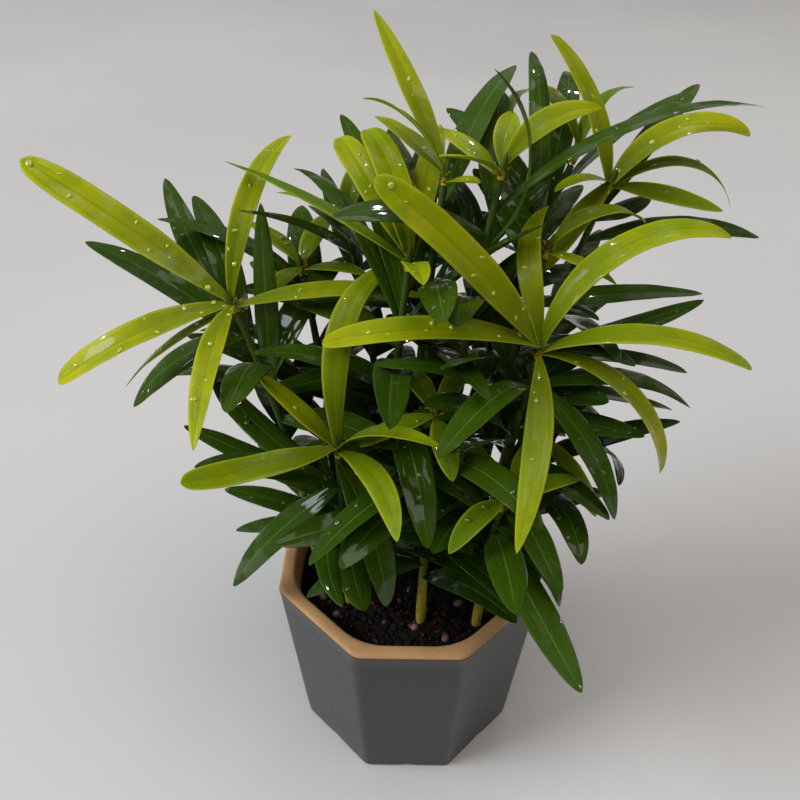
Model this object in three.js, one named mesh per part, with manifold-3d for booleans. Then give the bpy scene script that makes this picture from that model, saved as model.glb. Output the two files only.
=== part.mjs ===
// A young buddhist pine group: fourteen seedlings in an octagonal clay pot, with the pot's soil.
// Millimetres, +Z up, the origin in the middle of the foot's plane, the photographed side towards -Y.

import * as THREE from 'three';
import Module from 'manifold-3d';

const wasm = await Module();
wasm.setup();

// Pot
const RIM_WIDTH = 95; // across flats
const FOOT_WIDTH = 80.5; // across flats
const POT_HEIGHT = 75.5;
const SIDE_SHARE = 0.39; // a straight side's width as a share of the width across flats
const WALL = 5.5;
const FLOOR_TOP = 9;
const FOOT_RING = 7; // width of the ring that the pot stands on
const FOOT_RECESS = 2.5;
const ARCH_HEIGHT = 0.8; // of the low arch in the middle of each foot side
const ARCH_SHARE = 0.35; // of the side's length
const OUTER_ROUND = 4; // radius of the upright edges at the foot
const RIM_ROUND = 6;
const INNER_ROUND = 22;
const FLOOR_CORNER = 8;
const LIP_ROUND = 2.2;
const LIP_EASE = 0.6; // height of the lip's flat upper slopes
const FOOT_EASE = 1; // height of the bevel round the foot's edge
const FLOOR_ROUND = 6; // where the wall's inside turns into the floor
const DRAIN_WIDTH = 11;

// Joining
const FINEST = 0.1; // details smaller than this are merged

// Soil
const GAP = 0.3; // between solids that touch
const SOIL_TOP = 66;
const SOIL_RELIEF = 1.3;
const SOIL_RINGS = 5;
const SOIL_EDGE_DROP = 1; // at the pot's wall
const HOLE_RADIUS = 2.3;
const HOLE_DEPTH = 24;

// Stems
const STEM_FOOT_RADIUS = 1.75;
const STEM_TOP_RADIUS = 1.15;
const STEM_SIDES = 6;
const STEM_STEPS = 5;
const ROOT_LENGTH = 21;
const ROOT_TIP_RADIUS = 0.7;
const SHOOT_LENGTH = 5; // the young shoot at the stem's top
const BUD_LENGTH = 4;
const BUD_RADIUS = 1.5;

// Leaves
const BLADE_THICKNESS = 1.2;
const MATURE_WIDTH = 12;
const BASE_OUT = 0.5; // a leaf's base lies this far off the stem's axis
const PATH_STEPS = 20;
const YOUNG = { stations: [0, 0.2, 0.5, 0.82, 0.96], full: 0.45, turn: 0.55, point: 4, blunt: 0.5 };
const NARROW_YOUNG = { stations: [0, 0.2, 0.5, 0.8, 0.95], full: 0.45, turn: 0.4, point: 2.5, blunt: 0.8 };
const NARROW_WIDTH = 9.3; // young leaves narrower than this run to a point
const MATURE = { stations: [0, 0.22, 0.55, 0.86], full: 0.42, turn: 0.42, point: 2.4, blunt: 0.7 };
const GOLDEN_ANGLE = 137.5;
const PLANT_TURN = 61; // the leaf spiral of each plant starts this much further round

// Leaves of the spiral, from the youngest at the top to the oldest, with the full spread of each draw.
const SPIRAL = {
  rise: [52, 14],
  riseSpread: 16,
  length: [66, 52],
  lengthSpread: 14,
  droop: 24,
  droopSpread: 34,
  turnSpread: 30,
  sweepSpread: 24,
  rollSpread: 40,
  widthSpread: 1.4,
  shareSpread: 0.02,
};
const LOWER = { top: 0.64, low: 0.16, age: [0.45, 1.15] }; // leaves that the old wood keeps further down

// Room that leaves keep
const CLEARANCE = 0.5; // around a blade, to blades of other plants
const LOOSE_FROM = 0.15; // share of the length from which blades of one plant keep clear too
const SOIL_ROOM = 5; // between a leaf's midrib and the soil
const RIM_ROOM = 4; // between a leaf's midrib and the rim
const GROUND_ROOM = 12;
const SPREAD_ROOM = 12; // between a spiral leaf's midrib and the soil
const SPREAD_LEVEL = 92; // lowest height of a spiral leaf outside the pot
const LISTED_GIVE = 4; // degrees by which a leaf bends aside from one try to the next
const SPIRAL_GIVE = 9;
const TURN_GIVE = 1.4; // sideways, as a multiple of that
const SHORTER = 0.14; // share of the length lost each time that all directions have failed
const OVER_RIM = 0.58; // from here outward, as a share of the rim's width, a leaf may hang
const HOLD_ROOM = 0.035; // share of the stem's height over which the young leaves stand
const TRIES_PER_TURN = 5;
const TRIES_PER_LENGTH = 25;
const TRIES = 75;

// Each seedling: its foot on the soil, its growing tip, and leaves that are placed one by one.
// young: azimuth, rise, length, droop, sweep, roll, width. mature: share of the stem's height, then the same.
// count: mature leaves that follow the leaf spiral below the tip, between the shares of height top and low.
// lower: how many more the spiral holds further down. dropped: leaves of the spiral that have fallen.
// reach: how long the leaves of the spiral are, as a share of a full leaf.
const PLANTS = [
  {
    foot: [-36, 6],
    tip: [-60, 15, 174],
    young: [
      [160, 31, 82, 8, 0, -25, 11],
      [77, 72, 72, 75, -7, 15, 8],
      [202, -2, 61, 33, -4, -20, 11],
      [268, 12, 66, 43, 4, 0, 8],
      [2, 20, 65, 35, 0, 25, 7.5],
      [203, -13, 47, 41, -20, 0, 8],
    ],
    mature: [
      [0.86, 154, 29, 70, 22, 0, -20, 10],
      [0.915, 129, 19, 65, -24, -9, -20, 10],
      [0.88, 114, 41, 59, 34, 7, 0, 10],
      [0.88, 179, -13, 54, 45, 0, -25, 11.5],
      [0.71, 151, 2, 48, 35, 0, 0, 9],
      [0.65, 94, 81, 66, 22, 0, 0, 8],
    ],
    count: 9,
    top: 0.9,
    low: 0.3,
    lower: 6,
    dropped: [0, 4, 7, 9, 12],
    reach: 0.9,
  },
  {
    foot: [-22, -15],
    tip: [-24, -18, 140],
    young: [
      [214, 5, 50, -5, -4, -10, 10],
      [146, 29, 38, 12, -5, 0, 8],
      [108, 88, 80, 104, -70, 0, 9],
      [325, 56, 44, 65, 3, 0, 9],
      [313, 22, 46, 45, -35, 0, 8.5],
    ],
    mature: [
      [0.9, 304, -21, 51, 63, -5, 0, 11],
      [0.5, 280, -14, 38, -27, 6, 0, 10.5],
      [0.6, 248, 9, 44, 17, 52, 0, 8],
      [0.9, 26, 26, 56, 40, 0, 0, 10],
      [0.76, 196, -32, 59, 31, -19, -20, 11],
      [0.5, 165, -11, 44, 14, 0, 0, 9],
      [0.62, 154, 16, 66, 12, 0, 0, 9],
      [0.72, 159, 26, 70, 23, -41, 0, 11],
    ],
    count: 8,
    top: 0.8,
    low: 0.35,
    lower: 6,
    dropped: [4, 7, 9, 12],
    reach: 0.8,
  },
  {
    foot: [26, -10],
    tip: [40, 0, 167],
    young: [
      [187, 22, 70, 37, 0, -20, 9.5],
      [172, 54, 74, 20, 0, -50, 11],
      [134, 76, 54, 70, -85, 0, 8],
      [15, 83, 78, 108, -2, 15, 10.5],
      [337, 39, 67, 72, 19, 15, 9.5],
      [339, 7, 62, 92, -4, 0, 9.5],
      [267, -9, 71, 17, -16, 0, 8.5],
    ],
    mature: [
      [0.84, 0, 28, 61, 76, 9, 0, 10.5],
      [0.87, 314, -11, 53, 59, -3, 0, 10.5],
    ],
    count: 11,
    top: 0.9,
    low: 0.35,
    lower: 6,
    dropped: [],
    reach: 0.9,
  },
  {
    foot: [-2, 14],
    tip: [9, 25, 214],
    young: [
      [120, 42, 61, 5, 0, 0, 8],
      [129, 25, 40, 24, -6, 0, 8.5],
      [153, 71, 41, 84, -17, 20, 5.5],
      [305, 15, 14, 20, 0, 0, 7],
    ],
    mature: [
      [0.91, 65, 48, 70, 41, -2, 0, 10.5],
    ],
    count: 10,
    top: 0.9,
    low: 0.35,
    lower: 6,
    dropped: [0, 1],
    reach: 0.9,
  },
  {
    foot: [31, 20],
    tip: [64.3, 41, 206.3],
    young: [
      [225, -26, 39, 15, 3, 0, 9],
      [199, 25, 22, 53, 9, 0, 9],
      [352, -3, 38, 14, 0, 30, 7.5],
      [119, 72, 53, 36, 25, 0, 9.4],
      [23, 61, 56, 88, -19, 20, 9.5],
      [12, 46, 56, 112, 0, 30, 5],
    ],
    mature: [
      [0.9, 39, 49, 74, 44, 18, 0, 9.5],
      [0.9, 20, 15, 24, 9, 14, 10, 8],
      [0.85, 16, 11, 73, 33, 2, 20, 9],
    ],
    count: 8,
    top: 0.86,
    low: 0.4,
    lower: 5,
    dropped: [0, 1, 3],
    reach: 0.85,
  },
  {
    foot: [-10, -2],
    tip: [-2, 8, 193],
    young: [
      [119, 32, 58, 20, -5, 0, 10.5],
      [99, 41, 56, 35, 16, 0, 10.5],
      [148, 24, 73, 18, 4, 0, 7],
      [279, 32, 26, 40, 0, 0, 8],
      [77, 49, 67, 42, 5, 0, 9],
    ],
    mature: [
      [0.84, 108, 57, 91, 50, -1, 0, 8],
      [0.8, 123, 64, 86, 76, -1, 0, 7],
    ],
    count: 12,
    top: 0.93,
    low: 0.35,
    lower: 7,
    dropped: [0, 2, 18],
    reach: 0.95,
  },
  {
    foot: [14, 30],
    tip: [54, 50, 213],
    young: [
      [135, 73, 60, 165, -31, 0, 8],
      [62, 66, 39, 75, -30, 0, 6],
    ],
    mature: [
      [0.76, 96, 115, 82, 117, -7, 0, 7.5],
      [0.84, 63, 82, 65, 91, 23, 0, 9],
    ],
    count: 9,
    top: 0.87,
    low: 0.4,
    lower: 5,
    dropped: [],
    reach: 0.8,
  },
  {
    foot: [10, 8],
    tip: [26, 22, 217],
    young: [
      [39, 49, 38, 56, -26, 30, 8],
      [85, 30, 31, 25, -11, 0, 8],
      [220, 36, 28, 30, 0, 0, 8],
      [135, 34, 28, 30, 0, 0, 8],
    ],
    mature: [
      [0.9, 88, 32, 44, 20, 0, 0, 9],
      [0.82, 172, 136, 60, 96, 0, 0, 5.5],
      [0.89, 9, 44, 101, 57, 18, 0, 9.5],
    ],
    count: 10,
    top: 0.88,
    low: 0.4,
    lower: 6,
    dropped: [],
    reach: 0.9,
  },
  {
    foot: [22, 4],
    tip: [42, 18, 193],
    young: [
      [24, 42, 40, 87, 0, 0, 8.5],
      [330, 10, 24, 30, 0, 0, 8],
    ],
    mature: [
      [0.83, 7, 9, 59, 15, 1, 10, 10],
      [0.69, 352, 19, 63, -1, 18, 0, 10],
      [0.6, 350, 1, 59, 25, 15, 0, 11],
    ],
    count: 11,
    top: 0.9,
    low: 0.35,
    lower: 7,
    dropped: [],
    reach: 0.85,
  },
  {
    foot: [-27, 24],
    tip: [-40, 40, 176],
    young: [
      [140, 36, 28, 40, 0, 0, 8],
      [70, 40, 28, 40, 0, 0, 8],
      [250, 20, 22, 40, 0, 0, 8],
      [330, 30, 28, 40, 0, 0, 8],
    ],
    mature: [
      [0.9, 88, 42, 36, 34, 34, 0, 9],
      [0.8, 124, 18, 52, 30, 0, 0, 9.5],
    ],
    count: 11,
    top: 0.9,
    low: 0.35,
    lower: 7,
    dropped: [],
    reach: 0.9,
  },
  {
    foot: [4, -24],
    tip: [7, -14, 151],
    young: [
      [45, -4, 30, 40, 0, 0, 8.5],
      [115, 10, 36, 30, 0, 0, 8.5],
      [200, 10, 26, 40, 0, 0, 8],
      [60, 40, 30, 40, 0, 0, 8],
      [280, 10, 26, 40, 0, 0, 8],
    ],
    mature: [],
    count: 13,
    top: 0.92,
    low: 0.35,
    lower: 7,
    dropped: [8],
    reach: 0.85,
  },
  {
    foot: [37, -2],
    tip: [44, -4, 134],
    young: [
      [318, -32, 31, 20, 0, 0, 8.5],
      [40, 40, 30, 50, 0, 0, 8],
      [240, 20, 26, 40, 0, 0, 8],
    ],
    mature: [
      [0.8, 0, 37, 51, 21, 0, 0, 10.5],
      [0.8, 26, 37, 54, 125, -8, 0, 10],
      [0.6, 309, 41, 41, 80, -36, 0, 11],
    ],
    count: 8,
    top: 0.85,
    low: 0.4,
    lower: 6,
    dropped: [3, 5, 8],
    reach: 0.75,
  },
  {
    foot: [24, -25],
    tip: [28, -30, 129],
    young: [
      [230, 20, 28, 50, 0, 0, 8],
      [120, 40, 28, 40, 0, 0, 8],
      [20, 30, 28, 50, 0, 0, 8],
    ],
    mature: [
      [0.74, 286, 1, 62, 2, 1, 0, 11],
      [0.8, 320, 8, 37, 96, 11, 0, 10],
    ],
    count: 8,
    top: 0.85,
    low: 0.4,
    lower: 6,
    dropped: [4, 5, 7, 12],
    reach: 0.75,
  },
  {
    foot: [-8, 33],
    tip: [-24, 46, 190],
    young: [
      [80, 44, 28, 40, 0, 0, 8],
      [160, 34, 28, 40, 0, 0, 8],
      [20, 34, 28, 40, 0, 0, 8],
    ],
    mature: [],
    count: 12,
    top: 0.92,
    low: 0.35,
    lower: 6,
    dropped: [],
    reach: 0.78,
  },
];

const COLOURS = {
  glaze: { color: 0x3d3c3b, roughness: 0.62, metalness: 0 },
  earth: { color: 0x2a1812, roughness: 0.95, metalness: 0 },
  mature: { color: 0x2f4f17, roughness: 0.4, metalness: 0 },
  young: { color: 0x97a81f, roughness: 0.42, metalness: 0 },
};

const radians = THREE.MathUtils.degToRad;

// Solids and meshes

function solidOf(points, triangles) {
  const vertProperties = new Float32Array(points.flatMap((p) => [p.x, p.y, p.z]));
  const triVerts = new Uint32Array(triangles.flat());
  return new wasm.Manifold(new wasm.Mesh({ numProp: 3, vertProperties, triVerts }));
}

function meshOf(name, solid, colour) {
  const shape = solid.getMesh();
  const geometry = new THREE.BufferGeometry();
  geometry.setAttribute('position', new THREE.BufferAttribute(new Float32Array(shape.vertProperties), 3));
  geometry.setIndex(new THREE.BufferAttribute(new Uint32Array(shape.triVerts), 1));
  geometry.computeVertexNormals();
  const mesh = new THREE.Mesh(geometry, new THREE.MeshStandardMaterial(colour));
  mesh.name = name;
  return mesh;
}

// Triangles between rings of equal count, each ring anticlockwise seen from the end that comes later.
function bandTriangles(ringCount, sides, closedLoop) {
  const triangles = [];
  const bands = closedLoop ? ringCount : ringCount - 1;
  for (let r = 0; r < bands; r += 1) {
    const low = r * sides;
    const high = ((r + 1) % ringCount) * sides;
    for (let i = 0; i < sides; i += 1) {
      const j = (i + 1) % sides;
      triangles.push([low + i, low + j, high + j], [low + i, high + j, high + i]);
    }
  }
  return triangles;
}

// A closed body of rings with a point at each end.
function spindle(start, rings, end) {
  const sides = rings[0].length;
  const points = [...rings.flat(), start, end];
  const first = points.length - 2;
  const last = points.length - 1;
  const top = (rings.length - 1) * sides;
  const triangles = bandTriangles(rings.length, sides, false);
  for (let i = 0; i < sides; i += 1) {
    const j = (i + 1) % sides;
    triangles.push([first, j, i], [top + i, top + j, last]);
  }
  return solidOf(points, triangles);
}

// Pot and soil

// Points round an octagon with rounded corners: three on each corner and three along each side.
// Each point knows its side's share, from -1 to 1, and 0 in the middle.
function octagon(width, round) {
  const outline = [];
  const half = width / 2;
  const longHalf = (SIDE_SHARE * width) / 2;
  for (let side = 0; side < 8; side += 1) {
    const angle = radians(-90 + 45 * side);
    const out = new THREE.Vector2(Math.cos(angle), Math.sin(angle));
    const along = new THREE.Vector2(-out.y, out.x);
    const straight = side % 2 === 0;
    const reach = straight ? half : (half + longHalf) / Math.SQRT2;
    const sideHalf = straight ? longHalf : (half - longHalf) / Math.SQRT2;
    const cut = round * Math.tan(radians(22.5));
    const flat = sideHalf - cut;
    for (const share of [-1, -ARCH_SHARE, 0, ARCH_SHARE, 1]) {
      const p = out.clone().multiplyScalar(reach).addScaledVector(along, share * flat);
      outline.push({ x: p.x, y: p.y, share });
    }
    const turn = angle + radians(22.5);
    const centre = out.clone().multiplyScalar(reach - round).addScaledVector(along, flat);
    outline.push({ x: centre.x + round * Math.cos(turn), y: centre.y + round * Math.sin(turn), share: 1 });
  }
  return outline;
}

function widthAt(z) {
  return FOOT_WIDTH + ((RIM_WIDTH - FOOT_WIDTH) * z) / POT_HEIGHT;
}

function ringAt(width, round, z) {
  return octagon(width, round).map((p) => new THREE.Vector3(p.x, p.y, z));
}

// The foot's ring: its lower edge rises in a low arch in the middle of each side.
function footRing(width, round, z) {
  return octagon(width, round).map((p) => new THREE.Vector3(p.x, p.y, z + (p.share === 0 ? ARCH_HEIGHT : 0)));
}

function drainRing(z) {
  return octagon(FOOT_WIDTH, OUTER_ROUND).map((p) => {
    const angle = Math.atan2(p.y, p.x);
    return new THREE.Vector3((DRAIN_WIDTH / 2) * Math.cos(angle), (DRAIN_WIDTH / 2) * Math.sin(angle), z);
  });
}

function makePot() {
  const shoulder = POT_HEIGHT - LIP_ROUND;
  const floorEdge = FLOOR_TOP + FLOOR_ROUND;
  const rings = [
    footRing(FOOT_WIDTH - FOOT_EASE, OUTER_ROUND, 0),
    footRing(FOOT_WIDTH, OUTER_ROUND, FOOT_EASE),
    ringAt(widthAt(shoulder), RIM_ROUND, shoulder),
    ringAt(RIM_WIDTH - 2 * LIP_EASE, RIM_ROUND, POT_HEIGHT - LIP_EASE),
    ringAt(RIM_WIDTH - WALL, (RIM_ROUND + INNER_ROUND) / 2, POT_HEIGHT),
    ringAt(RIM_WIDTH - 2 * WALL + 2 * LIP_EASE, INNER_ROUND, POT_HEIGHT - LIP_EASE),
    ringAt(innerWidth(shoulder), INNER_ROUND, shoulder),
    ringAt(innerWidth(floorEdge), INNER_ROUND, floorEdge),
    ringAt(innerWidth(FLOOR_TOP) - FLOOR_ROUND, FLOOR_CORNER, FLOOR_TOP),
    drainRing(FLOOR_TOP),
    drainRing(FOOT_RECESS),
    ringAt(FOOT_WIDTH - 2 * FOOT_RING - FOOT_EASE, OUTER_ROUND, FOOT_RECESS),
    footRing(FOOT_WIDTH - 2 * FOOT_RING, OUTER_ROUND, 0),
  ];
  const sides = rings[0].length;
  return solidOf(rings.flat(), bandTriangles(rings.length, sides, true)).simplify(FINEST);
}

function innerWidth(z) {
  return widthAt(z) - 2 * WALL;
}

// The soil's surface: low waves, and lumps that fade towards the pot's wall.
function soilHeight(x, y) {
  const waves = Math.sin(x * 0.16 + 0.7) * Math.cos(y * 0.19 - 0.4);
  const lumps = Math.sin(x * 0.93 + 1.9 * Math.sin(y * 0.51)) * Math.sin(y * 0.87 + 1.4 * Math.sin(x * 0.47));
  return SOIL_TOP + SOIL_RELIEF * (0.5 * waves + 0.5 * lumps);
}

// The plain hole that a stem stands in, from its bottom to above the soil.
function holePrism([x, y]) {
  const up = new THREE.Vector3(0, 0, 1);
  const low = new THREE.Vector3(x, y, SOIL_TOP - HOLE_DEPTH);
  const high = new THREE.Vector3(x, y, POT_HEIGHT);
  return spindle(low, [circleAt(low, up, HOLE_RADIUS), circleAt(high, up, HOLE_RADIUS)], high);
}

function makeSoil() {
  const edge = octagon(innerWidth(SOIL_TOP) - 2 * GAP, INNER_ROUND);
  const floorEdge = FLOOR_TOP + FLOOR_ROUND;
  const lowRing = ringAt(innerWidth(floorEdge) - 2 * GAP, INNER_ROUND, floorEdge);
  const floorRing = ringAt(innerWidth(FLOOR_TOP) - FLOOR_ROUND - 2 * GAP, FLOOR_CORNER, FLOOR_TOP + GAP);
  const rings = [floorRing, lowRing];
  for (let k = SOIL_RINGS; k > 0; k -= 1) {
    const share = k / SOIL_RINGS;
    rings.push(
      edge.map((p) => {
        const x = p.x * share;
        const y = p.y * share;
        return new THREE.Vector3(x, y, k === SOIL_RINGS ? SOIL_TOP - SOIL_EDGE_DROP : soilHeight(x, y));
      }),
    );
  }
  const start = new THREE.Vector3(0, 0, FLOOR_TOP + GAP);
  const end = new THREE.Vector3(0, 0, soilHeight(0, 0));
  const body = spindle(start, rings, end).simplify(FINEST);
  return PLANTS.reduce((soil, plant) => soil.subtract(holePrism(plant.foot)), body).simplify(FINEST);
}

// Stems and shoots

function stemCurve(plant) {
  const foot = new THREE.Vector3(plant.foot[0], plant.foot[1], SOIL_TOP);
  const tip = new THREE.Vector3(...plant.tip);
  const rise = tip.clone().sub(foot);
  const bend = foot.clone().add(new THREE.Vector3(rise.x * 0.2, rise.y * 0.2, rise.z * 0.55));
  return new THREE.QuadraticBezierCurve3(foot, bend, tip);
}

function circleAt(centre, direction, radius) {
  const across = new THREE.Vector3(0, 1, 0).cross(direction).normalize();
  const up = direction.clone().cross(across).normalize();
  return Array.from({ length: STEM_SIDES }, (_, i) => {
    const angle = radians((360 / STEM_SIDES) * i);
    const out = across.clone().multiplyScalar(Math.cos(angle)).addScaledVector(up, Math.sin(angle));
    return centre.clone().addScaledVector(out, radius);
  });
}

// The share of the curve where the old stem ends and the young shoot begins.
function shootShare(curve) {
  return 1 - SHOOT_LENGTH / curve.getLength();
}

function makeStem(plant) {
  const curve = stemCurve(plant);
  const up = new THREE.Vector3(0, 0, 1);
  const [x, y] = plant.foot;
  const rings = [circleAt(new THREE.Vector3(x, y, SOIL_TOP - ROOT_LENGTH), up, ROOT_TIP_RADIUS)];
  const end = shootShare(curve);
  for (let i = 0; i <= STEM_STEPS; i += 1) {
    const share = (end * i) / STEM_STEPS;
    const radius = THREE.MathUtils.lerp(STEM_FOOT_RADIUS, STEM_TOP_RADIUS, i / STEM_STEPS);
    rings.push(circleAt(curve.getPoint(share), i === 0 ? up : curve.getTangent(share), radius));
  }
  const root = new THREE.Vector3(x, y, SOIL_TOP - ROOT_LENGTH - 1);
  return spindle(root, rings, curve.getPoint(end));
}

function makeShoot(plant) {
  const curve = stemCurve(plant);
  const direction = curve.getTangent(1);
  const tip = curve.getPoint(1);
  const along = (distance) => tip.clone().addScaledVector(direction, distance);
  const share = shootShare(curve);
  const seat = curve.getPoint(share).addScaledVector(curve.getTangent(share), GAP);
  const rings = [
    circleAt(seat, curve.getTangent(share), STEM_TOP_RADIUS),
    circleAt(along(-1), direction, STEM_TOP_RADIUS),
    circleAt(along(BUD_LENGTH * 0.4), direction, BUD_RADIUS),
  ];
  return spindle(seat, rings, along(BUD_LENGTH));
}

// Leaves

// A leaf's midrib: it leaves the stem at an azimuth and a rise, and bends down by droop on its way.
function midrib(start, leaf) {
  const points = [start.clone()];
  const step = leaf.length / PATH_STEPS;
  for (let i = 0; i < PATH_STEPS; i += 1) {
    const frame = leafFrame(leaf, (i + 0.5) / PATH_STEPS);
    points.push(points[i].clone().addScaledVector(frame.along, step));
  }
  return points;
}

// Directions along the leaf, to its left and out of its upper face, at a share of its length.
function leafFrame(leaf, share) {
  const pitch = radians(leaf.rise - leaf.droop * share);
  const heading = radians(leaf.azimuth + leaf.sweep * share);
  const roll = radians(leaf.roll);
  const along = new THREE.Vector3(
    Math.cos(pitch) * Math.cos(heading),
    Math.cos(pitch) * Math.sin(heading),
    Math.sin(pitch),
  );
  const level = new THREE.Vector3(-Math.sin(heading), Math.cos(heading), 0);
  const above = along.clone().cross(level);
  const left = level.clone().multiplyScalar(Math.cos(roll)).addScaledVector(above, Math.sin(roll));
  return { along, left, above: along.clone().cross(left) };
}

function widthShare(kind, share) {
  const grow = 0.2 + 0.8 * Math.sin((Math.PI / 2) * Math.min(1, share / kind.full));
  const past = Math.max(0, (share - kind.turn) / (1 - kind.turn));
  return grow * (1 - past ** kind.point) ** kind.blunt;
}

// A blade is a strip with a keel: its two margins and its lower midrib at each station, and a tip.
function blade(start, leaf, extra = 0, from = 0) {
  const path = midrib(start, leaf);
  const pointAt = (share) => {
    const place = share * PATH_STEPS;
    const i = Math.min(PATH_STEPS - 1, Math.floor(place));
    return path[i].clone().lerp(path[i + 1], place - i);
  };
  const shares = leaf.kind.stations.filter((share) => share >= from);
  const rings = shares.map((share) => {
    const { left, above } = leafFrame(leaf, share);
    const half = (leaf.width * widthShare(leaf.kind, share)) / 2 + extra;
    const middle = pointAt(share);
    const face = middle.clone().addScaledVector(above, BLADE_THICKNESS / 3 + extra);
    return [
      face.clone().addScaledVector(left, -half),
      middle.clone().addScaledVector(above, -BLADE_THICKNESS / 1.5 - extra),
      face.clone().addScaledVector(left, half),
    ];
  });
  const end = path[PATH_STEPS].clone().addScaledVector(leafFrame(leaf, 1).along, extra);
  return spindle(pointAt(shares[0]), rings, end);
}

// A repeatable draw from 0 to 1 for one leaf of one plant.
function draw(plantIndex, leafIndex, use) {
  let value = (plantIndex * 7919 + leafIndex * 104729 + use * 1299709 + 1) % 2147483647;
  for (let i = 0; i < 3; i += 1) value = (value * 48271) % 2147483647;
  return value / 2147483647;
}

// 0, 1, -1, 2, -2 and so on.
function swing(count) {
  return Math.ceil(count / 2) * (count % 2 === 1 ? 1 : -1);
}

// The leaf as it would grow, or as it bends aside at a later try.
function bent(leaf, attempt) {
  const cycle = attempt % TRIES_PER_LENGTH;
  return {
    ...leaf,
    rise: leaf.rise + swing(cycle % TRIES_PER_TURN) * leaf.give,
    azimuth: leaf.azimuth + swing(Math.floor(cycle / TRIES_PER_TURN)) * leaf.give * TURN_GIVE,
    length: leaf.length * (1 - SHORTER * Math.floor(attempt / TRIES_PER_LENGTH)),
  };
}

function listedLeaf(numbers, share, kind) {
  const [azimuth, rise, length, droop, sweep, roll, width] = numbers;
  return { share, azimuth, rise, length, droop, sweep, roll, width, kind, give: LISTED_GIVE, listed: true };
}

function youngLeaves(plant) {
  const count = plant.young.length;
  return plant.young.map((numbers, i) => {
    const kind = numbers.at(-1) < NARROW_WIDTH ? NARROW_YOUNG : YOUNG;
    return listedLeaf(numbers, 1 - (HOLD_ROOM * i) / count, kind);
  });
}

function spiralLeaf(plant, plantIndex, i) {
  const isLower = i >= plant.count;
  const run = isLower ? (i - plant.count) / plant.lower : i / plant.count;
  const age = isLower ? THREE.MathUtils.lerp(...LOWER.age, run) : run;
  const { top, low } = isLower ? LOWER : plant;
  const spread = (use, range) => range * (draw(plantIndex, i, use) - 0.5);
  return {
    share: THREE.MathUtils.lerp(top, low, run) + SPIRAL.shareSpread * draw(plantIndex, i, 1),
    azimuth: GOLDEN_ANGLE * i + PLANT_TURN * plantIndex + spread(2, SPIRAL.turnSpread),
    rise: THREE.MathUtils.lerp(...SPIRAL.rise, age) + spread(3, SPIRAL.riseSpread),
    length: plant.reach * (THREE.MathUtils.lerp(...SPIRAL.length, age) + spread(4, SPIRAL.lengthSpread)),
    droop: SPIRAL.droop + SPIRAL.droopSpread * draw(plantIndex, i, 5),
    sweep: spread(6, SPIRAL.sweepSpread),
    roll: spread(7, SPIRAL.rollSpread),
    width: MATURE_WIDTH + spread(8, SPIRAL.widthSpread),
    kind: MATURE,
    give: SPIRAL_GIVE,
    listed: false,
  };
}

function matureLeaves(plant, plantIndex) {
  const listed = plant.mature.map(([share, ...numbers]) => listedLeaf(numbers, share, MATURE));
  const turns = Array.from({ length: plant.count + plant.lower }, (_, i) => i);
  const kept = turns.filter((i) => !plant.dropped.includes(i));
  return { listed, spiral: kept.map((i) => spiralLeaf(plant, plantIndex, i)) };
}

// A leaf stays above the soil and passes over the rim. Leaves of the spiral don't hang down outside the pot.
function staysClearOfPot(path, leaf) {
  return path.every((p) => {
    const reach = Math.hypot(p.x, p.y);
    if (reach < RIM_WIDTH / 2 - WALL) return p.z > SOIL_TOP + (leaf.listed ? SOIL_ROOM : SPREAD_ROOM);
    if (!leaf.listed) return p.z > SPREAD_LEVEL;
    return p.z > (reach < RIM_WIDTH * OVER_RIM ? POT_HEIGHT + RIM_ROOM : GROUND_ROOM);
  });
}

function boxesMeet(a, b) {
  return [0, 1, 2].every((k) => a.min[k] <= b.max[k] && b.min[k] <= a.max[k]);
}

// What has been placed so far: solids with their boxes and the node that they belong to.
const placed = [];

function place(solid, node) {
  placed.push({ solid, node, box: solid.boundingBox() });
}

function meets(probe, isRival) {
  const box = probe.boundingBox();
  const near = placed.filter((other) => isRival(other) && boxesMeet(box, other.box));
  return near.some((other) => !probe.intersect(other.solid).isEmpty());
}

// The first try of a leaf that crosses nothing, or null where there is no room for it.
function grow(leaf, curve, node) {
  for (let attempt = 0; attempt < TRIES; attempt += 1) {
    const candidate = bent(leaf, attempt);
    const start = curve.getPoint(leaf.share).addScaledVector(leafFrame(candidate, 0).along, BASE_OUT);
    if (!staysClearOfPot(midrib(start, candidate).slice(2), candidate)) continue;
    const wide = blade(start, candidate, CLEARANCE);
    if (meets(wide, (other) => other.node !== node)) continue;
    const outer = blade(start, candidate, CLEARANCE, LOOSE_FROM);
    if (meets(outer, (other) => other.node === node)) continue;
    const solid = blade(start, candidate);
    place(solid, node);
    return solid;
  }
  return null;
}

function growAll(leaves, curve, node) {
  return leaves.map((leaf) => grow(leaf, curve, node)).filter((solid) => solid !== null);
}

// One body with one skin: a hollow that the bases of leaves close in between them is filled.
function joined(solids) {
  const body = solids.reduce((sum, solid) => sum.add(solid)).simplify(FINEST);
  const skins = body.decompose();
  return skins.reduce((largest, skin) => (skin.volume() > largest.volume() ? skin : largest));
}

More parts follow.
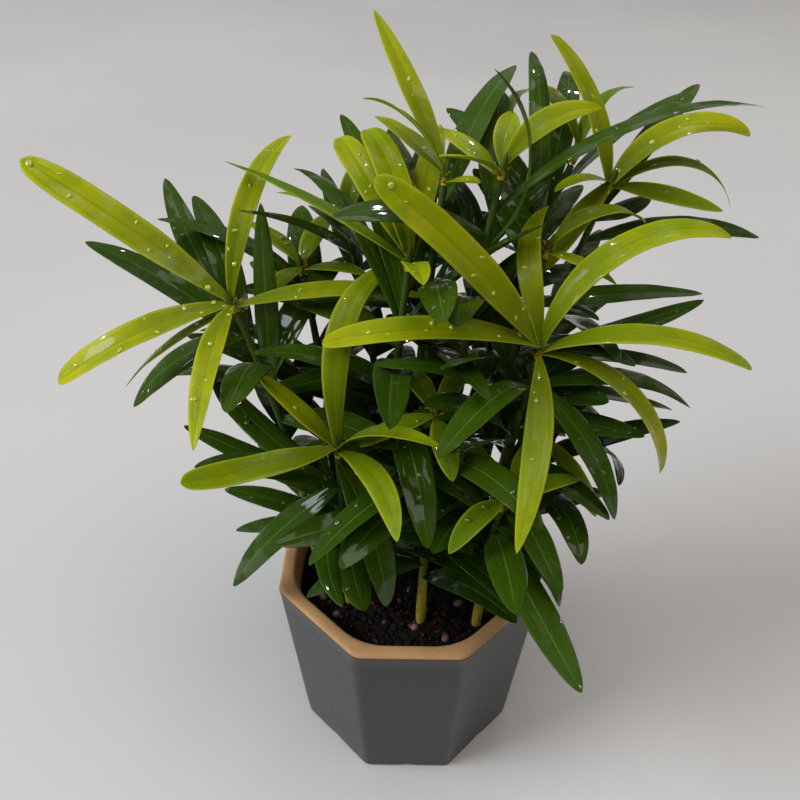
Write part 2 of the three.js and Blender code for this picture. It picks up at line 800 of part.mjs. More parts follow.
// The whole plant group: stems and shoots first, then the leaves that are placed one by one, then the rest.
function makePlants() {
  const plants = PLANTS.map((plant, i) => {
    const label = String(i + 1).padStart(2, '0');
    const names = { stem: `seedling_${label}`, flush: `flush_${label}` };
    const stem = makeStem(plant);
    const shoot = makeShoot(plant);
    place(stem, names.stem);
    place(shoot, names.flush);
    const curve = stemCurve(plant);
    return { plant, names, curve, stem: [stem], flush: [shoot], leaves: matureLeaves(plant, i) };
  });
  for (const p of plants) p.flush.push(...growAll(youngLeaves(p.plant), p.curve, p.names.flush));
  for (const p of plants) p.stem.push(...growAll(p.leaves.listed, p.curve, p.names.stem));
  for (const p of plants) p.stem.push(...growAll(p.leaves.spiral, p.curve, p.names.stem));
  return plants.flatMap((p) => [
    meshOf(p.names.stem, joined(p.stem), COLOURS.mature),
    meshOf(p.names.flush, joined(p.flush), COLOURS.young),
  ]);
}

const bonsai = new THREE.Group();
bonsai.add(meshOf('pot', makePot(), COLOURS.glaze));
bonsai.add(meshOf('soil', makeSoil(), COLOURS.earth));
bonsai.add(...makePlants());

export default bonsai;
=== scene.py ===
"""Looks of the potted buddhist pine group: leaves, stems, pot, soil, water, table, light and camera.

Sizes are written in millimetres, as in the solid model, and are turned into metres where a mesh is made.
The table, the lights and the scales of patterns are in metres, and angles are in degrees.
"""

import math
import random

import bpy
from mathutils import Matrix, Vector
from mathutils.kdtree import KDTree

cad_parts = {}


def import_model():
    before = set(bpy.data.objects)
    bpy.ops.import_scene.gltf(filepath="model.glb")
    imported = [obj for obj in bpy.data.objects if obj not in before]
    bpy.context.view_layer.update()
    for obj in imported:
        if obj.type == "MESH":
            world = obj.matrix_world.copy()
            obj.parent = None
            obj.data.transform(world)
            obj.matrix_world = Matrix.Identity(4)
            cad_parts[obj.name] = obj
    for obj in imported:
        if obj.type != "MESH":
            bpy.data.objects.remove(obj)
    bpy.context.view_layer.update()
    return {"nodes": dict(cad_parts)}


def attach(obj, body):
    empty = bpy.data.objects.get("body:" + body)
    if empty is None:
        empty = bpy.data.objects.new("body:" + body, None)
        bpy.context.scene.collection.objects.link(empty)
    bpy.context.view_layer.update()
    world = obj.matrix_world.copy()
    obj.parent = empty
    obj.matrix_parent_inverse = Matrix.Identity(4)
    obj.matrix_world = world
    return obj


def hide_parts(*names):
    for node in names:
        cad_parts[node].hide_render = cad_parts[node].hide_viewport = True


MM = 0.001

# Camera
CAMERA_PLACE = (-4, -217, 295)
CAMERA_PITCH = 34.5
CAMERA_YAW = -0.1
CAMERA_ROLL = 0.7
FRAME_WIDTH = 36  # the lens is as long as the frame is wide
CAMERA_NEAR = 10
CAMERA_FAR = 20000

# Table in metres, and lights in metres and watts
TABLE_REACH = 6
WINDOW_LIGHT = {
    "place": (-4.4, -1.1, 3.6),
    "target": (0, 0, 0.12),
    "size": 3.4,
    "power": 250,
    "tint": (0.88, 0.94, 1),
}
CEILING_LIGHT = {
    "place": (0.7, -0.4, 4.4),
    "target": (0, 0, 0.12),
    "size": 4,
    "power": 80,
    "tint": (1, 0.93, 0.86),
}
GLINT_LIGHT = {"target": (0, 0, 0.15), "size": 0.12, "power": 10, "tint": (0.95, 0.98, 1)}
GLINT_PLACES = ((-2.0, 0.5, 2.0), (-0.8, 0.9, 2.4), (0.5, 1.4, 2.2))
ROOM_TINT = (1, 0.95, 0.88, 1)
ROOM_STRENGTH = 0.26

# Pot
RIM_WIDTH = 95
FOOT_WIDTH = 80.5
POT_HEIGHT = 75.5
SIDE_SHARE = 0.39
WALL = 5.5
FLOOR_TOP = 9
FOOT_RING = 7
FOOT_RECESS = 2.5
ARCH_HEIGHT = 0.8
ARCH_SHARE = 0.35
OUTER_ROUND = 4
RIM_ROUND = 6
INNER_ROUND = 22
FLOOR_CORNER = 8
FLOOR_ROUND = 6
FLOOR_BEND = 2.5
FLOOR_BEND_HEIGHT = 2
DRAIN_WIDTH = 11
LIP_ROUND = 2.2
WALL_START = 2.2
MID_WALL = 40
BELOW_LIP = 5
SIDES = 8
CORNER_STEPS = 8
SIDE_STEPS = 8
WALL_STEPS = 14
# What the foot's rounded edge adds to its width, and each place's height.
FOOT_CURVE = ((-1.6, 0.05), (-1.0, 0.12), (-0.5, 0.4), (-0.15, 0.8), (0, 1.3))
# What the lip adds to the rim's width, its height above the rim, and how bare its clay is.
LIP_CURVE = (
    (-0.1, -1.75, 0.35),
    (-0.25, -1.3, 0.5),
    (-0.55, -0.85, 1),
    (-1.1, -0.45, 1),
    (-1.9, -0.18, 1),
    (-3.2, -0.03, 1),
    (-5.5, 0, 1),
    (-7.8, -0.04, 1),
    (-9.2, -0.25, 1),
    (-10.1, -0.65, 1),
    (-10.7, -1.3, 1),
    (-11, -2.2, 1),
)
# What the foot ring's inner edge adds to its width, each place's height, and how high it arches.
INNER_FOOT_CURVE = ((-1, FOOT_RECESS, 0), (0, 0.5, ARCH_HEIGHT), (1.2, 0, ARCH_HEIGHT))

# Soil
GAP = 0.3
SOIL_TOP = 66
SOIL_RELIEF = 1.3
SOIL_EDGE_DROP = 1
SOIL_RINGS = 44
SOIL_EDGE_RINGS = 4
SOIL_EDGE_RELIEF = 0.15
FINE_RELIEF = 0.35

# Stems
STEM_FOOT_RADIUS = 1.75
STEM_TOP_RADIUS = 1.15
STEM_SWELL = 0.05  # how uneven a stem is, and the turns in radians that the swellings make along it
STEM_SWELLS = 19
STEM_STATIONS = 30
STEM_MEASURES = 200
BEND_LEAN = 0.2  # how much of its lean a stem has reached at its bend
BEND_HEIGHT = 0.55  # and how much of its height
ROOT_LENGTH = 21
ROOT_POINT = 0.9
ROOT_TIP_RADIUS = 0.7
ROOT_END_RADIUS = 0.2
SHOOT_LENGTH = 5
SHOOT_SHARE = 0.96  # a shoot's foot, against the stem below it
BUD_LENGTH = 4
BUD_SHARE = 0.5  # a bud has the green of the stem's upper half
# Places along a bud, from the stem's tip, and its radius there.
BUD_CURVE = ((-1, 1.1), (0.2, 1.15), (1.2, 0.95), (2.2, 0.7), (3.2, 0.4), (BUD_LENGTH, 0.1))

# Leaves
MATURE_WIDTH = 12
BASE_OUT = 0.5
PATH_STEPS = 20
LEAF_STATIONS = 34
BLADE_END = 0.993  # where a blade ends, short of its midrib's end
TIP_START = 0.955  # where its outline begins to close
YOUNG = {"full": 0.45, "turn": 0.55, "point": 4, "blunt": 0.5}
NARROW_YOUNG = {"full": 0.45, "turn": 0.4, "point": 2.5, "blunt": 0.8}
NARROW_WIDTH = 9.3  # young leaves narrower than this run to a point
MATURE = {"full": 0.42, "turn": 0.42, "point": 2.4, "blunt": 0.7}
BASE_SHARE = 0.2  # a blade's width at its base
LEAST_HALF = 0.08
GOLDEN_ANGLE = 137.5
PLANT_TURN = 61
SPIRAL = {
    "rise": (52, 14),
    "rise_spread": 16,
    "length": (66, 52),
    "length_spread": 14,
    "droop": 24,
    "droop_spread": 34,
    "turn_spread": 30,
    "sweep_spread": 24,
    "roll_spread": 40,
    "width_spread": 1.4,
    "share_spread": 0.02,
}
LOWER = {"top": 0.64, "low": 0.16, "age": (0.45, 1.15)}  # leaves that the old wood keeps further down
LISTED_GIVE = 4
SPIRAL_GIVE = 9
TURN_GIVE = 1.4
SHORTER = 0.14
HOLD_ROOM = 0.035
TRIES_PER_TURN = 5
TRIES_PER_LENGTH = 25
TRIES = 75
SAME_PLACE = 0.12  # a leaf's tip is a point of the solid model when it lies this near to one
DRAW_PRIMES = (7919, 104729, 1299709)
DRAW_STEP = 48271
DRAW_RANGE = 2147483647
DRAW_ROUNDS = 3

# The seedlings. A young leaf is its azimuth, rise, length, droop, sweep, roll and width. A mature one begins
# with its share of the stem's length. The values below the lists are for the leaves that stand in a spiral.
PLANTS = [
    {
        "foot": (-36, 6),
        "tip": (-60, 15, 174),
        "young": [
            (160, 31, 82, 8, 0, -25, 11),
            (77, 72, 72, 75, -7, 15, 8),
            (202, -2, 61, 33, -4, -20, 11),
            (268, 12, 66, 43, 4, 0, 8),
            (2, 20, 65, 35, 0, 25, 7.5),
            (203, -13, 47, 41, -20, 0, 8),
        ],
        "mature": [
            (0.86, 154, 29, 70, 22, 0, -20, 10),
            (0.915, 129, 19, 65, -24, -9, -20, 10),
            (0.88, 114, 41, 59, 34, 7, 0, 10),
            (0.88, 179, -13, 54, 45, 0, -25, 11.5),
            (0.71, 151, 2, 48, 35, 0, 0, 9),
            (0.65, 94, 81, 66, 22, 0, 0, 8),
        ],
        "count": 9,
        "top": 0.9,
        "low": 0.3,
        "lower": 6,
        "dropped": (0, 4, 7, 9, 12),
        "reach": 0.9,
    },
    {
        "foot": (-22, -15),
        "tip": (-24, -18, 140),
        "young": [
            (214, 5, 50, -5, -4, -10, 10),
            (146, 29, 38, 12, -5, 0, 8),
            (108, 88, 80, 104, -70, 0, 9),
            (325, 56, 44, 65, 3, 0, 9),
            (313, 22, 46, 45, -35, 0, 8.5),
        ],
        "mature": [
            (0.9, 304, -21, 51, 63, -5, 0, 11),
            (0.5, 280, -14, 38, -27, 6, 0, 10.5),
            (0.6, 248, 9, 44, 17, 52, 0, 8),
            (0.9, 26, 26, 56, 40, 0, 0, 10),
            (0.76, 196, -32, 59, 31, -19, -20, 11),
            (0.5, 165, -11, 44, 14, 0, 0, 9),
            (0.62, 154, 16, 66, 12, 0, 0, 9),
            (0.72, 159, 26, 70, 23, -41, 0, 11),
        ],
        "count": 8,
        "top": 0.8,
        "low": 0.35,
        "lower": 6,
        "dropped": (4, 7, 9, 12),
        "reach": 0.8,
    },
    {
        "foot": (26, -10),
        "tip": (40, 0, 167),
        "young": [
            (187, 22, 70, 37, 0, -20, 9.5),
            (172, 54, 74, 20, 0, -50, 11),
            (134, 76, 54, 70, -85, 0, 8),
            (15, 83, 78, 108, -2, 15, 10.5),
            (337, 39, 67, 72, 19, 15, 9.5),
            (339, 7, 62, 92, -4, 0, 9.5),
            (267, -9, 71, 17, -16, 0, 8.5),
        ],
        "mature": [
            (0.84, 0, 28, 61, 76, 9, 0, 10.5),
            (0.87, 314, -11, 53, 59, -3, 0, 10.5),
        ],
        "count": 11,
        "top": 0.9,
        "low": 0.35,
        "lower": 6,
        "dropped": (),
        "reach": 0.9,
    },
    {
        "foot": (-2, 14),
        "tip": (9, 25, 214),
        "young": [
            (120, 42, 61, 5, 0, 0, 8),
            (129, 25, 40, 24, -6, 0, 8.5),
            (153, 71, 41, 84, -17, 20, 5.5),
            (305, 15, 14, 20, 0, 0, 7),
        ],
        "mature": [
            (0.91, 65, 48, 70, 41, -2, 0, 10.5),
        ],
        "count": 10,
        "top": 0.9,
        "low": 0.35,
        "lower": 6,
        "dropped": (0, 1),
        "reach": 0.9,
    },
    {
        "foot": (31, 20),
        "tip": (64.3, 41, 206.3),
        "young": [
            (225, -26, 39, 15, 3, 0, 9),
            (199, 25, 22, 53, 9, 0, 9),
            (352, -3, 38, 14, 0, 30, 7.5),
            (119, 72, 53, 36, 25, 0, 9.4),
            (23, 61, 56, 88, -19, 20, 9.5),
            (12, 46, 56, 112, 0, 30, 5),
        ],
        "mature": [
            (0.9, 39, 49, 74, 44, 18, 0, 9.5),
            (0.9, 20, 15, 24, 9, 14, 10, 8),
            (0.85, 16, 11, 73, 33, 2, 20, 9),
        ],
        "count": 8,
        "top": 0.86,
        "low": 0.4,
        "lower": 5,
        "dropped": (0, 1, 3),
        "reach": 0.85,
    },
    {
        "foot": (-10, -2),
        "tip": (-2, 8, 193),
        "young": [
            (119, 32, 58, 20, -5, 0, 10.5),
            (99, 41, 56, 35, 16, 0, 10.5),
            (148, 24, 73, 18, 4, 0, 7),
            (279, 32, 26, 40, 0, 0, 8),
            (77, 49, 67, 42, 5, 0, 9),
        ],
        "mature": [
            (0.84, 108, 57, 91, 50, -1, 0, 8),
            (0.8, 123, 64, 86, 76, -1, 0, 7),
        ],
        "count": 12,
        "top": 0.93,
        "low": 0.35,
        "lower": 7,
        "dropped": (0, 2, 18),
        "reach": 0.95,
    },
    {
        "foot": (14, 30),
        "tip": (54, 50, 213),
        "young": [
            (135, 73, 60, 165, -31, 0, 8),
            (62, 66, 39, 75, -30, 0, 6),
        ],
        "mature": [
            (0.76, 96, 115, 82, 117, -7, 0, 7.5),
            (0.84, 63, 82, 65, 91, 23, 0, 9),
        ],
        "count": 9,
        "top": 0.87,
        "low": 0.4,
        "lower": 5,
        "dropped": (),
        "reach": 0.8,
    },
    {
        "foot": (10, 8),
        "tip": (26, 22, 217),
        "young": [
            (39, 49, 38, 56, -26, 30, 8),
            (85, 30, 31, 25, -11, 0, 8),
            (220, 36, 28, 30, 0, 0, 8),
            (135, 34, 28, 30, 0, 0, 8),
        ],
        "mature": [
            (0.9, 88, 32, 44, 20, 0, 0, 9),
            (0.82, 172, 136, 60, 96, 0, 0, 5.5),
            (0.89, 9, 44, 101, 57, 18, 0, 9.5),
        ],
        "count": 10,
        "top": 0.88,
        "low": 0.4,
        "lower": 6,
        "dropped": (),
        "reach": 0.9,
    },
    {
        "foot": (22, 4),
        "tip": (42, 18, 193),
        "young": [
            (24, 42, 40, 87, 0, 0, 8.5),
            (330, 10, 24, 30, 0, 0, 8),
        ],
        "mature": [
            (0.83, 7, 9, 59, 15, 1, 10, 10),
            (0.69, 352, 19, 63, -1, 18, 0, 10),
            (0.6, 350, 1, 59, 25, 15, 0, 11),
        ],
        "count": 11,
        "top": 0.9,
        "low": 0.35,
        "lower": 7,
        "dropped": (),
        "reach": 0.85,
    },
    {
        "foot": (-27, 24),
        "tip": (-40, 40, 176),
        "young": [
            (140, 36, 28, 40, 0, 0, 8),
            (70, 40, 28, 40, 0, 0, 8),
            (250, 20, 22, 40, 0, 0, 8),
            (330, 30, 28, 40, 0, 0, 8),
        ],
        "mature": [
            (0.9, 88, 42, 36, 34, 34, 0, 9),
            (0.8, 124, 18, 52, 30, 0, 0, 9.5),
        ],
        "count": 11,
        "top": 0.9,
        "low": 0.35,
        "lower": 7,
        "dropped": (),
        "reach": 0.9,
    },
    {
        "foot": (4, -24),
        "tip": (7, -14, 151),
        "young": [
            (45, -4, 30, 40, 0, 0, 8.5),
            (115, 10, 36, 30, 0, 0, 8.5),
            (200, 10, 26, 40, 0, 0, 8),
            (60, 40, 30, 40, 0, 0, 8),
            (280, 10, 26, 40, 0, 0, 8),
        ],
        "mature": [],
        "count": 13,
        "top": 0.92,
        "low": 0.35,
        "lower": 7,
        "dropped": (8,),
        "reach": 0.85,
    },
    {
        "foot": (37, -2),
        "tip": (44, -4, 134),
        "young": [
            (318, -32, 31, 20, 0, 0, 8.5),
            (40, 40, 30, 50, 0, 0, 8),
            (240, 20, 26, 40, 0, 0, 8),
        ],
        "mature": [
            (0.8, 0, 37, 51, 21, 0, 0, 10.5),
            (0.8, 26, 37, 54, 125, -8, 0, 10),
            (0.6, 309, 41, 41, 80, -36, 0, 11),
        ],
        "count": 8,
        "top": 0.85,
        "low": 0.4,
        "lower": 6,
        "dropped": (3, 5, 8),
        "reach": 0.75,
    },
    {
        "foot": (24, -25),
        "tip": (28, -30, 129),
        "young": [
            (230, 20, 28, 50, 0, 0, 8),
            (120, 40, 28, 40, 0, 0, 8),
            (20, 30, 28, 50, 0, 0, 8),
        ],
        "mature": [
            (0.74, 286, 1, 62, 2, 1, 0, 11),
            (0.8, 320, 8, 37, 96, 11, 0, 10),
        ],
        "count": 8,
        "top": 0.85,
        "low": 0.4,
        "lower": 6,
        "dropped": (4, 5, 7, 12),
        "reach": 0.75,
    },
    {
        "foot": (-8, 33),
        "tip": (-24, 46, 190),
        "young": [
            (80, 44, 28, 40, 0, 0, 8),
            (160, 34, 28, 40, 0, 0, 8),
            (20, 34, 28, 40, 0, 0, 8),
        ],
        "mature": [],
        "count": 12,
        "top": 0.92,
        "low": 0.35,
        "lower": 6,
        "dropped": (),
        "reach": 0.78,
    },
]

# How blades are made, with heights in shares of their half width where no unit is given
OLD_BLADE = {"Thickness": 0.085, "Groove": 0.05, "Fold": 0.13, "Wave Height": 1.1 * MM, "Wave Scale": 90.0}
NEW_BLADE = {"Thickness": 0.1, "Groove": 0.06, "Fold": 0.2, "Wave Height": 0.8 * MM, "Wave Scale": 90.0}
BLADE_SEGMENTS = 18
STEM_SEGMENTS = 12
CLOSER_MIDDLE = 1.45  # draws a blade's lengthwise edges towards its middle
MARGIN_THINNING = 0.45
GROOVE_REACH = 0.24

# What differs from leaf to leaf
PLANT_SEED = 100
TONE_SPREAD = 0.16
FRESH_SPREAD = 0.06
CUP_RANGE = (-0.24, 0.1)
TWIST_SPREAD = 14
WET_SHARE = 0.3
WETTER_WHEN_FRESH = 0.45
NEW_TONE = 0.5
OLD_TONE = 0.15
TONE_RISE = 0.6  # higher leaves are paler
TONE_FOOT = 0.4

# Brown scales round the foot of a shoot
SCALE_COUNT = 7
SCALE_START = 0.012
SCALE_END = 0.995
SCALE_RANGES = {
    "turn": (-20, 20),
    "rise": (35, 70),
    "droop": (-10, 30),
    "length": (2.4, 4.2),
    "width": (1.3, 2.0),
}

# Small bodies strewn over the soil, and drops of water on the leaves
BODY_SEGMENTS = 10
BODY_RINGS = 6
BODY_LUMPS = 900.0
LEVEL_GROUND = 0.8
CRUMBS = {
    "Distance": 1.5 * MM,
    "Density": 260000.0,
    "Smallest": 0.5 * MM,
    "Largest": 1.5 * MM,
    "Flatness": 0.8,
    "Roughness": 1.1 * MM,
    "Lift": 0.25 * MM,
    "Seed": 3,
}
PEBBLES = {
    **CRUMBS,
    "Distance": 9 * MM,
    "Density": 6000.0,
    "Smallest": 1.1 * MM,
    "Largest": 1.9 * MM,
    "Lift": 0.6 * MM,
    "Seed": 11,
}
DROPS = {
    "Distance": 3 * MM,
    "Density": 15000.0,
    "Smallest": 0.35 * MM,
    "Largest": 1.25 * MM,
    "Flatness": 0.5,
    "Roughness": 0.0,
    "Lift": 0.02 * MM,
    "Seed": 5,
}
LARGE_DROPS = {**DROPS, "Distance": 9 * MM, "Density": 60000.0, "Smallest": 1.1 * MM, "Largest": 1.7 * MM}
DROP_GROUND = 0.35  # the least that a face looks up where a drop stays on it
DROP_MARGIN = 0.8  # drops stay within this share of a blade's half width
UPPER_FACE = 0.4  # of values that are 0 or 1 at the points, what still counts as an upper face
WET_LEAF = 0.5
TIP_DROP = {"along": 0.93, "reach": 0.03, "margin": 0.35, "fresh": 0.6}

# How fresh each seedling's new leaves are: 1 is lime, 0 is the green of the older leaves.
FRESHNESS = (1, 0.6, 0.92, 1, 0.92, 0.85, 0.8, 0.8, 0.7, 0.3, 0.25, 0.35, 0.15, 0.35)
# New leaves that are greener than the rest of theirs, by seedling and leaf, both counted from 0.
DULL_LEAVES = {
    (0, 4): 0.8,
    (1, 1): 0.9,
    (1, 4): 0.5,
    (2, 4): 0.75,
    (2, 6): 0.55,
    (3, 2): 0.15,
    (4, 2): 0.5,
    (4, 5): 0.4,
    (5, 2): 0.05,
    (6, 1): 0.1,
    (7, 1): 0.6,
}


# Colours, from 0 to 255. A pair holds the two ends that a finish goes between.
LIME = ((130, 148, 4), (178, 186, 10))
WARM_LIME = (194, 184, 14)
GREENER_LIME = (108, 138, 6)
LEAF_GREEN = ((44, 84, 10), (88, 128, 14))
OLIVE = (82, 96, 8)
SCALE_BROWN = (140, 88, 34)
DARK_GREEN = ((30, 58, 6), (68, 94, 10))
DEEP_GREEN = (50, 78, 8)
STEM_GREEN = ((186, 172, 60), (58, 82, 20))
SPECK_BROWN = (104, 74, 36)
GLAZE = ((16, 16, 16), (23, 22, 23))
GLAZE_SPECK = (84, 82, 80)
LINE_BROWN = (70, 42, 30)
CLAY = ((188, 142, 90), (204, 160, 108))
CLAY_GRAIN = (164, 116, 72)
# the soil's own dark damp colour, darkened further by painted shade of the foliage above
SOIL_COLOUR_AND_PAINTED_SHADE = ((12, 7, 6), (30, 18, 15))
DAMP_EARTH = (24, 14, 12)
# as dark as the soil: the crumbs' own colour with the same painted shade of the foliage in it
CRUMB_COLOUR_AND_PAINTED_SHADE = ((10, 6, 5), (30, 18, 15))
CRUMB_LUMP = (20, 10, 9)
BARK = (104, 70, 60)
PEBBLE = ((120, 84, 74), (168, 132, 120))
PEBBLE_GRAIN = (84, 56, 50)
# the leaf's colour as light through a drop would show it, painted onto the opaque drops
LEAF_COLOUR_PAINTED_ON_DROPS = ((52, 80, 18), (170, 180, 40))
TABLE = ((205, 204, 205), (210, 209, 209))

# How strongly each place of a blade is tinted, and with which colour
YOUNG_TINTS = {
    "Streaks": (0.3, (110, 134, 8)),
    "Margins": (0.4, (184, 188, 50)),
    "Midrib": (0.4, (104, 128, 14)),
    "Underside": (0.4, (140, 156, 50)),
}
MATURE_TINTS = {
    "Streaks": (0.3, (60, 86, 12)),
    "Margins": (0.35, (66, 94, 20)),
    "Midrib": (0.55, (92, 120, 44)),
    "Underside": (0.5, (66, 92, 30)),
}

# Finish of the leaves
THIN_LEAF = {  # light that passes through a thin leaf
    "Subsurface_Weight": 0.55,
    "Subsurface_Radius": (0.8, 1.0, 0.15),
    "Subsurface_Scale": 1.2 * MM,
}
STREAK_WANDER = 1.4  # how much a blade's streaks wander along it
STREAK_CHANGE = 40.0  # and how much they differ from leaf to leaf
MIDRIB_CORE = 0.35  # the share of a midrib's width that is fully pale
MIDRIB_FADE_START = 0.8  # where along the blade it begins to fade
MIDRIB_FADE = 0.8
OLIVE_END = 0.85  # how far along a young blade the olive of its base reaches
OLIVE_STRENGTH = 0.8
GRAIN_RELIEF = 0.4  # against the relief of the streaks
WET_RELIEF = 2.0
WET_SMOOTHING = 0.18
YOUNG_SHINE = 0.6
MATURE_SHINE = 0.85

# Finish of the stems, the pot and the crumbs
STEM_GREENING = (0.08, 0.4)  # where along a stem its yellow-green foot turns green
BROWN_LINE_START = (0.22, 0.34)  # how bare the clay is where the glaze ends
CLAY_START = (0.62, 0.8)  # and where the brown line ends
UNEVEN_LINE = 0.1
CLAY_ROUGHNESS = 0.85
SPECK_RELIEF = 0.5
PALE_CRUMBS = (0.86, 0.98)


def radians_of(degrees):
    return degrees * math.pi / 180


def lerp(low, high, share):
    return low + (high - low) * share


# Leaves, by the rules of the solid model


def draw(plant_index, leaf_index, use):
    """A repeatable draw from 0 to 1 for one leaf of one plant."""
    keys = (plant_index, leaf_index, use)
    value = (sum(key * prime for key, prime in zip(keys, DRAW_PRIMES)) + 1) % DRAW_RANGE
    for _ in range(DRAW_ROUNDS):
        value = value * DRAW_STEP % DRAW_RANGE
    return value / DRAW_RANGE


def swing(count):
    """0, 1, -1, 2, -2 and so on."""
    return math.ceil(count / 2) * (1 if count % 2 else -1)


def bent(leaf, attempt):
    """The leaf as it would grow, or as it bends aside at a later try."""
    cycle = attempt % TRIES_PER_LENGTH
    return {
        **leaf,
        "rise": leaf["rise"] + swing(cycle % TRIES_PER_TURN) * leaf["give"],
        "azimuth": leaf["azimuth"] + swing(cycle // TRIES_PER_TURN) * leaf["give"] * TURN_GIVE,
        "length": leaf["length"] * (1 - SHORTER * (attempt // TRIES_PER_LENGTH)),
    }


def leaf_frame(leaf, share, twist=0):
    """Directions along the leaf, to its left and out of its upper face, at a share of its length."""
    pitch = radians_of(leaf["rise"] - leaf["droop"] * share)
    heading = radians_of(leaf["azimuth"] + leaf["sweep"] * share)
    roll = radians_of(leaf["roll"] + twist * share)
    x, y = math.cos(heading), math.sin(heading)
    along = Vector((math.cos(pitch) * x, math.cos(pitch) * y, math.sin(pitch)))
    level = Vector((-y, x, 0))
    left = level * math.cos(roll) + along.cross(level) * math.sin(roll)
    return along, left, along.cross(left)


def listed_leaf(numbers, share, kind):
    names = ("azimuth", "rise", "length", "droop", "sweep", "roll", "width")
    return {**dict(zip(names, numbers)), "share": share, "kind": kind, "give": LISTED_GIVE}


def spiral_leaf(plant, plant_index, i):
    is_lower = i >= plant["count"]
    run = (i - plant["count"]) / plant["lower"] if is_lower else i / plant["count"]
    age = lerp(*LOWER["age"], run) if is_lower else run
    heights = LOWER if is_lower else plant

    def spread(use, reach):
        return reach * (draw(plant_index, i, use) - 0.5)

    return {
        "share": lerp(heights["top"], heights["low"], run) + SPIRAL["share_spread"] * draw(plant_index, i, 1),
        "azimuth": GOLDEN_ANGLE * i + PLANT_TURN * plant_index + spread(2, SPIRAL["turn_spread"]),
        "rise": lerp(*SPIRAL["rise"], age) + spread(3, SPIRAL["rise_spread"]),
        "length": plant["reach"] * (lerp(*SPIRAL["length"], age) + spread(4, SPIRAL["length_spread"])),
        "droop": SPIRAL["droop"] + SPIRAL["droop_spread"] * draw(plant_index, i, 5),
        "sweep": spread(6, SPIRAL["sweep_spread"]),
        "roll": spread(7, SPIRAL["roll_spread"]),
        "width": MATURE_WIDTH + spread(8, SPIRAL["width_spread"]),
        "kind": MATURE,
        "give": SPIRAL_GIVE,
    }


def width_share(kind, share):
    grow = BASE_SHARE + (1 - BASE_SHARE) * math.sin(math.pi / 2 * min(1, share / kind["full"]))
    past = max(0, (share - kind["turn"]) / (1 - kind["turn"]))
    return grow * (1 - past ** kind["point"]) ** kind["blunt"]


class Stem:
    """The bent line of a seedling's stem, from the soil to the growing tip."""

    def __init__(self, plant):
        self.foot = Vector((*plant["foot"], SOIL_TOP))
        self.tip = Vector(plant["tip"])
        rise = self.tip - self.foot
        self.bend = self.foot + Vector((rise.x * BEND_LEAN, rise.y * BEND_LEAN, rise.z * BEND_HEIGHT))
        places = [self.point(i / STEM_MEASURES) for i in range(STEM_MEASURES + 1)]
        length = sum((b - a).length for a, b in zip(places, places[1:]))
        self.shoot_share = 1 - SHOOT_LENGTH / length

    def point(self, share):
        rest = 1 - share
        return self.foot * rest * rest + self.bend * 2 * rest * share + self.tip * share * share

    def direction(self, share):
        return ((self.bend - self.foot) * (1 - share) + (self.tip - self.bend) * share).normalized()


def leaf_start(leaf, stem):
    return stem.point(leaf["share"]) + leaf_frame(leaf, 0)[0] * BASE_OUT


def leaf_tip(leaf, stem):
    step = leaf["length"] / PATH_STEPS
    place = leaf_start(leaf, stem)
    for i in range(PATH_STEPS):
        place = place + leaf_frame(leaf, (i + 0.5) / PATH_STEPS)[0] * step
    return place


def grown(leaf, stem, points):
    """The leaf as the solid model has it, or None where it found no room there."""
    for attempt in range(TRIES):
        candidate = bent(leaf, attempt)
        distance = points.find(leaf_tip(candidate, stem) * MM)[2]
        if distance < SAME_PLACE * MM:
            return candidate
    return None


def points_of(node):
    """The points of a solid of the model, to be searched by place."""
    vertices = node.data.vertices
    tree = KDTree(len(vertices))
    for vertex in vertices:
        tree.insert(vertex.co, vertex.index)
    tree.balance()
    return tree


# Building of node trees


def colour(red, green, blue):
    """A colour as a picture shows it, from 0 to 255, turned into the shader's linear values."""

    def linear(value):
        share = value / 255
        return share / 12.92 if share <= 0.04045 else ((share + 0.055) / 1.055) ** 2.4

    return (linear(red), linear(green), linear(blue), 1)


def add(tree, kind, inputs=None, **settings):
    """A node with its settings, whose inputs are linked to sockets or set to plain values."""
    node = tree.nodes.new(kind)
    for name, value in settings.items():
        setattr(node, name, value)
    for key, value in (inputs or {}).items():
        if isinstance(value, bpy.types.NodeSocket):
            tree.links.new(value, node.inputs[key])
        else:
            node.inputs[key].default_value = value
    return node


def made(tree, kind, inputs=None, **settings):
    """What a new node puts out first."""
    return add(tree, kind, inputs, **settings).outputs[0]


def calculate(tree, operation, first, second=None, third=None, clamp=False):
    kind = "ShaderNodeMath"
    values = {i: value for i, value in enumerate((first, second, third)) if value is not None}
    return made(tree, kind, values, operation=operation, use_clamp=clamp)


def product(tree, first, second):
    return calculate(tree, "MULTIPLY", first, second)


def total(tree, first, second):
    return calculate(tree, "ADD", first, second)


def difference(tree, first, second):
    return calculate(tree, "SUBTRACT", first, second)


def vector_sum(tree, first, second):
    return made(tree, "ShaderNodeVectorMath", {0: first, 1: second}, operation="ADD")


def scaled(tree, vector, factor):
    return made(tree, "ShaderNodeVectorMath", {0: vector, "Scale": factor}, operation="SCALE")


def blend(tree, factor, first, second):
    """A mix of two colours."""
    return add(tree, "ShaderNodeMix", {0: factor, 6: first, 7: second}, data_type="RGBA").outputs[2]


def blend_value(tree, factor, first, second):
    """A mix of two plain values."""
    return total(tree, first, product(tree, difference(tree, second, first), factor))


def tinted(tree, body, places, strength, tint):
    """A colour with some of another over it, where places is above 0."""
    return blend(tree, product(tree, places, strength), body, colour(*tint))


def remap(tree, value, low, high, to_low=0.0, to_high=1.0):
    """A value's range turned smoothly into another."""
    inputs = {"Value": value, "From Min": low, "From Max": high, "To Min": to_low, "To Max": to_high}
    return made(tree, "ShaderNodeMapRange", inputs, interpolation_type="SMOOTHSTEP")


def between(tree, share, low, high):
    """The value at a share of the way from low to high, eased at both ends."""
    return remap(tree, share, 0.0, 1.0, low, high)


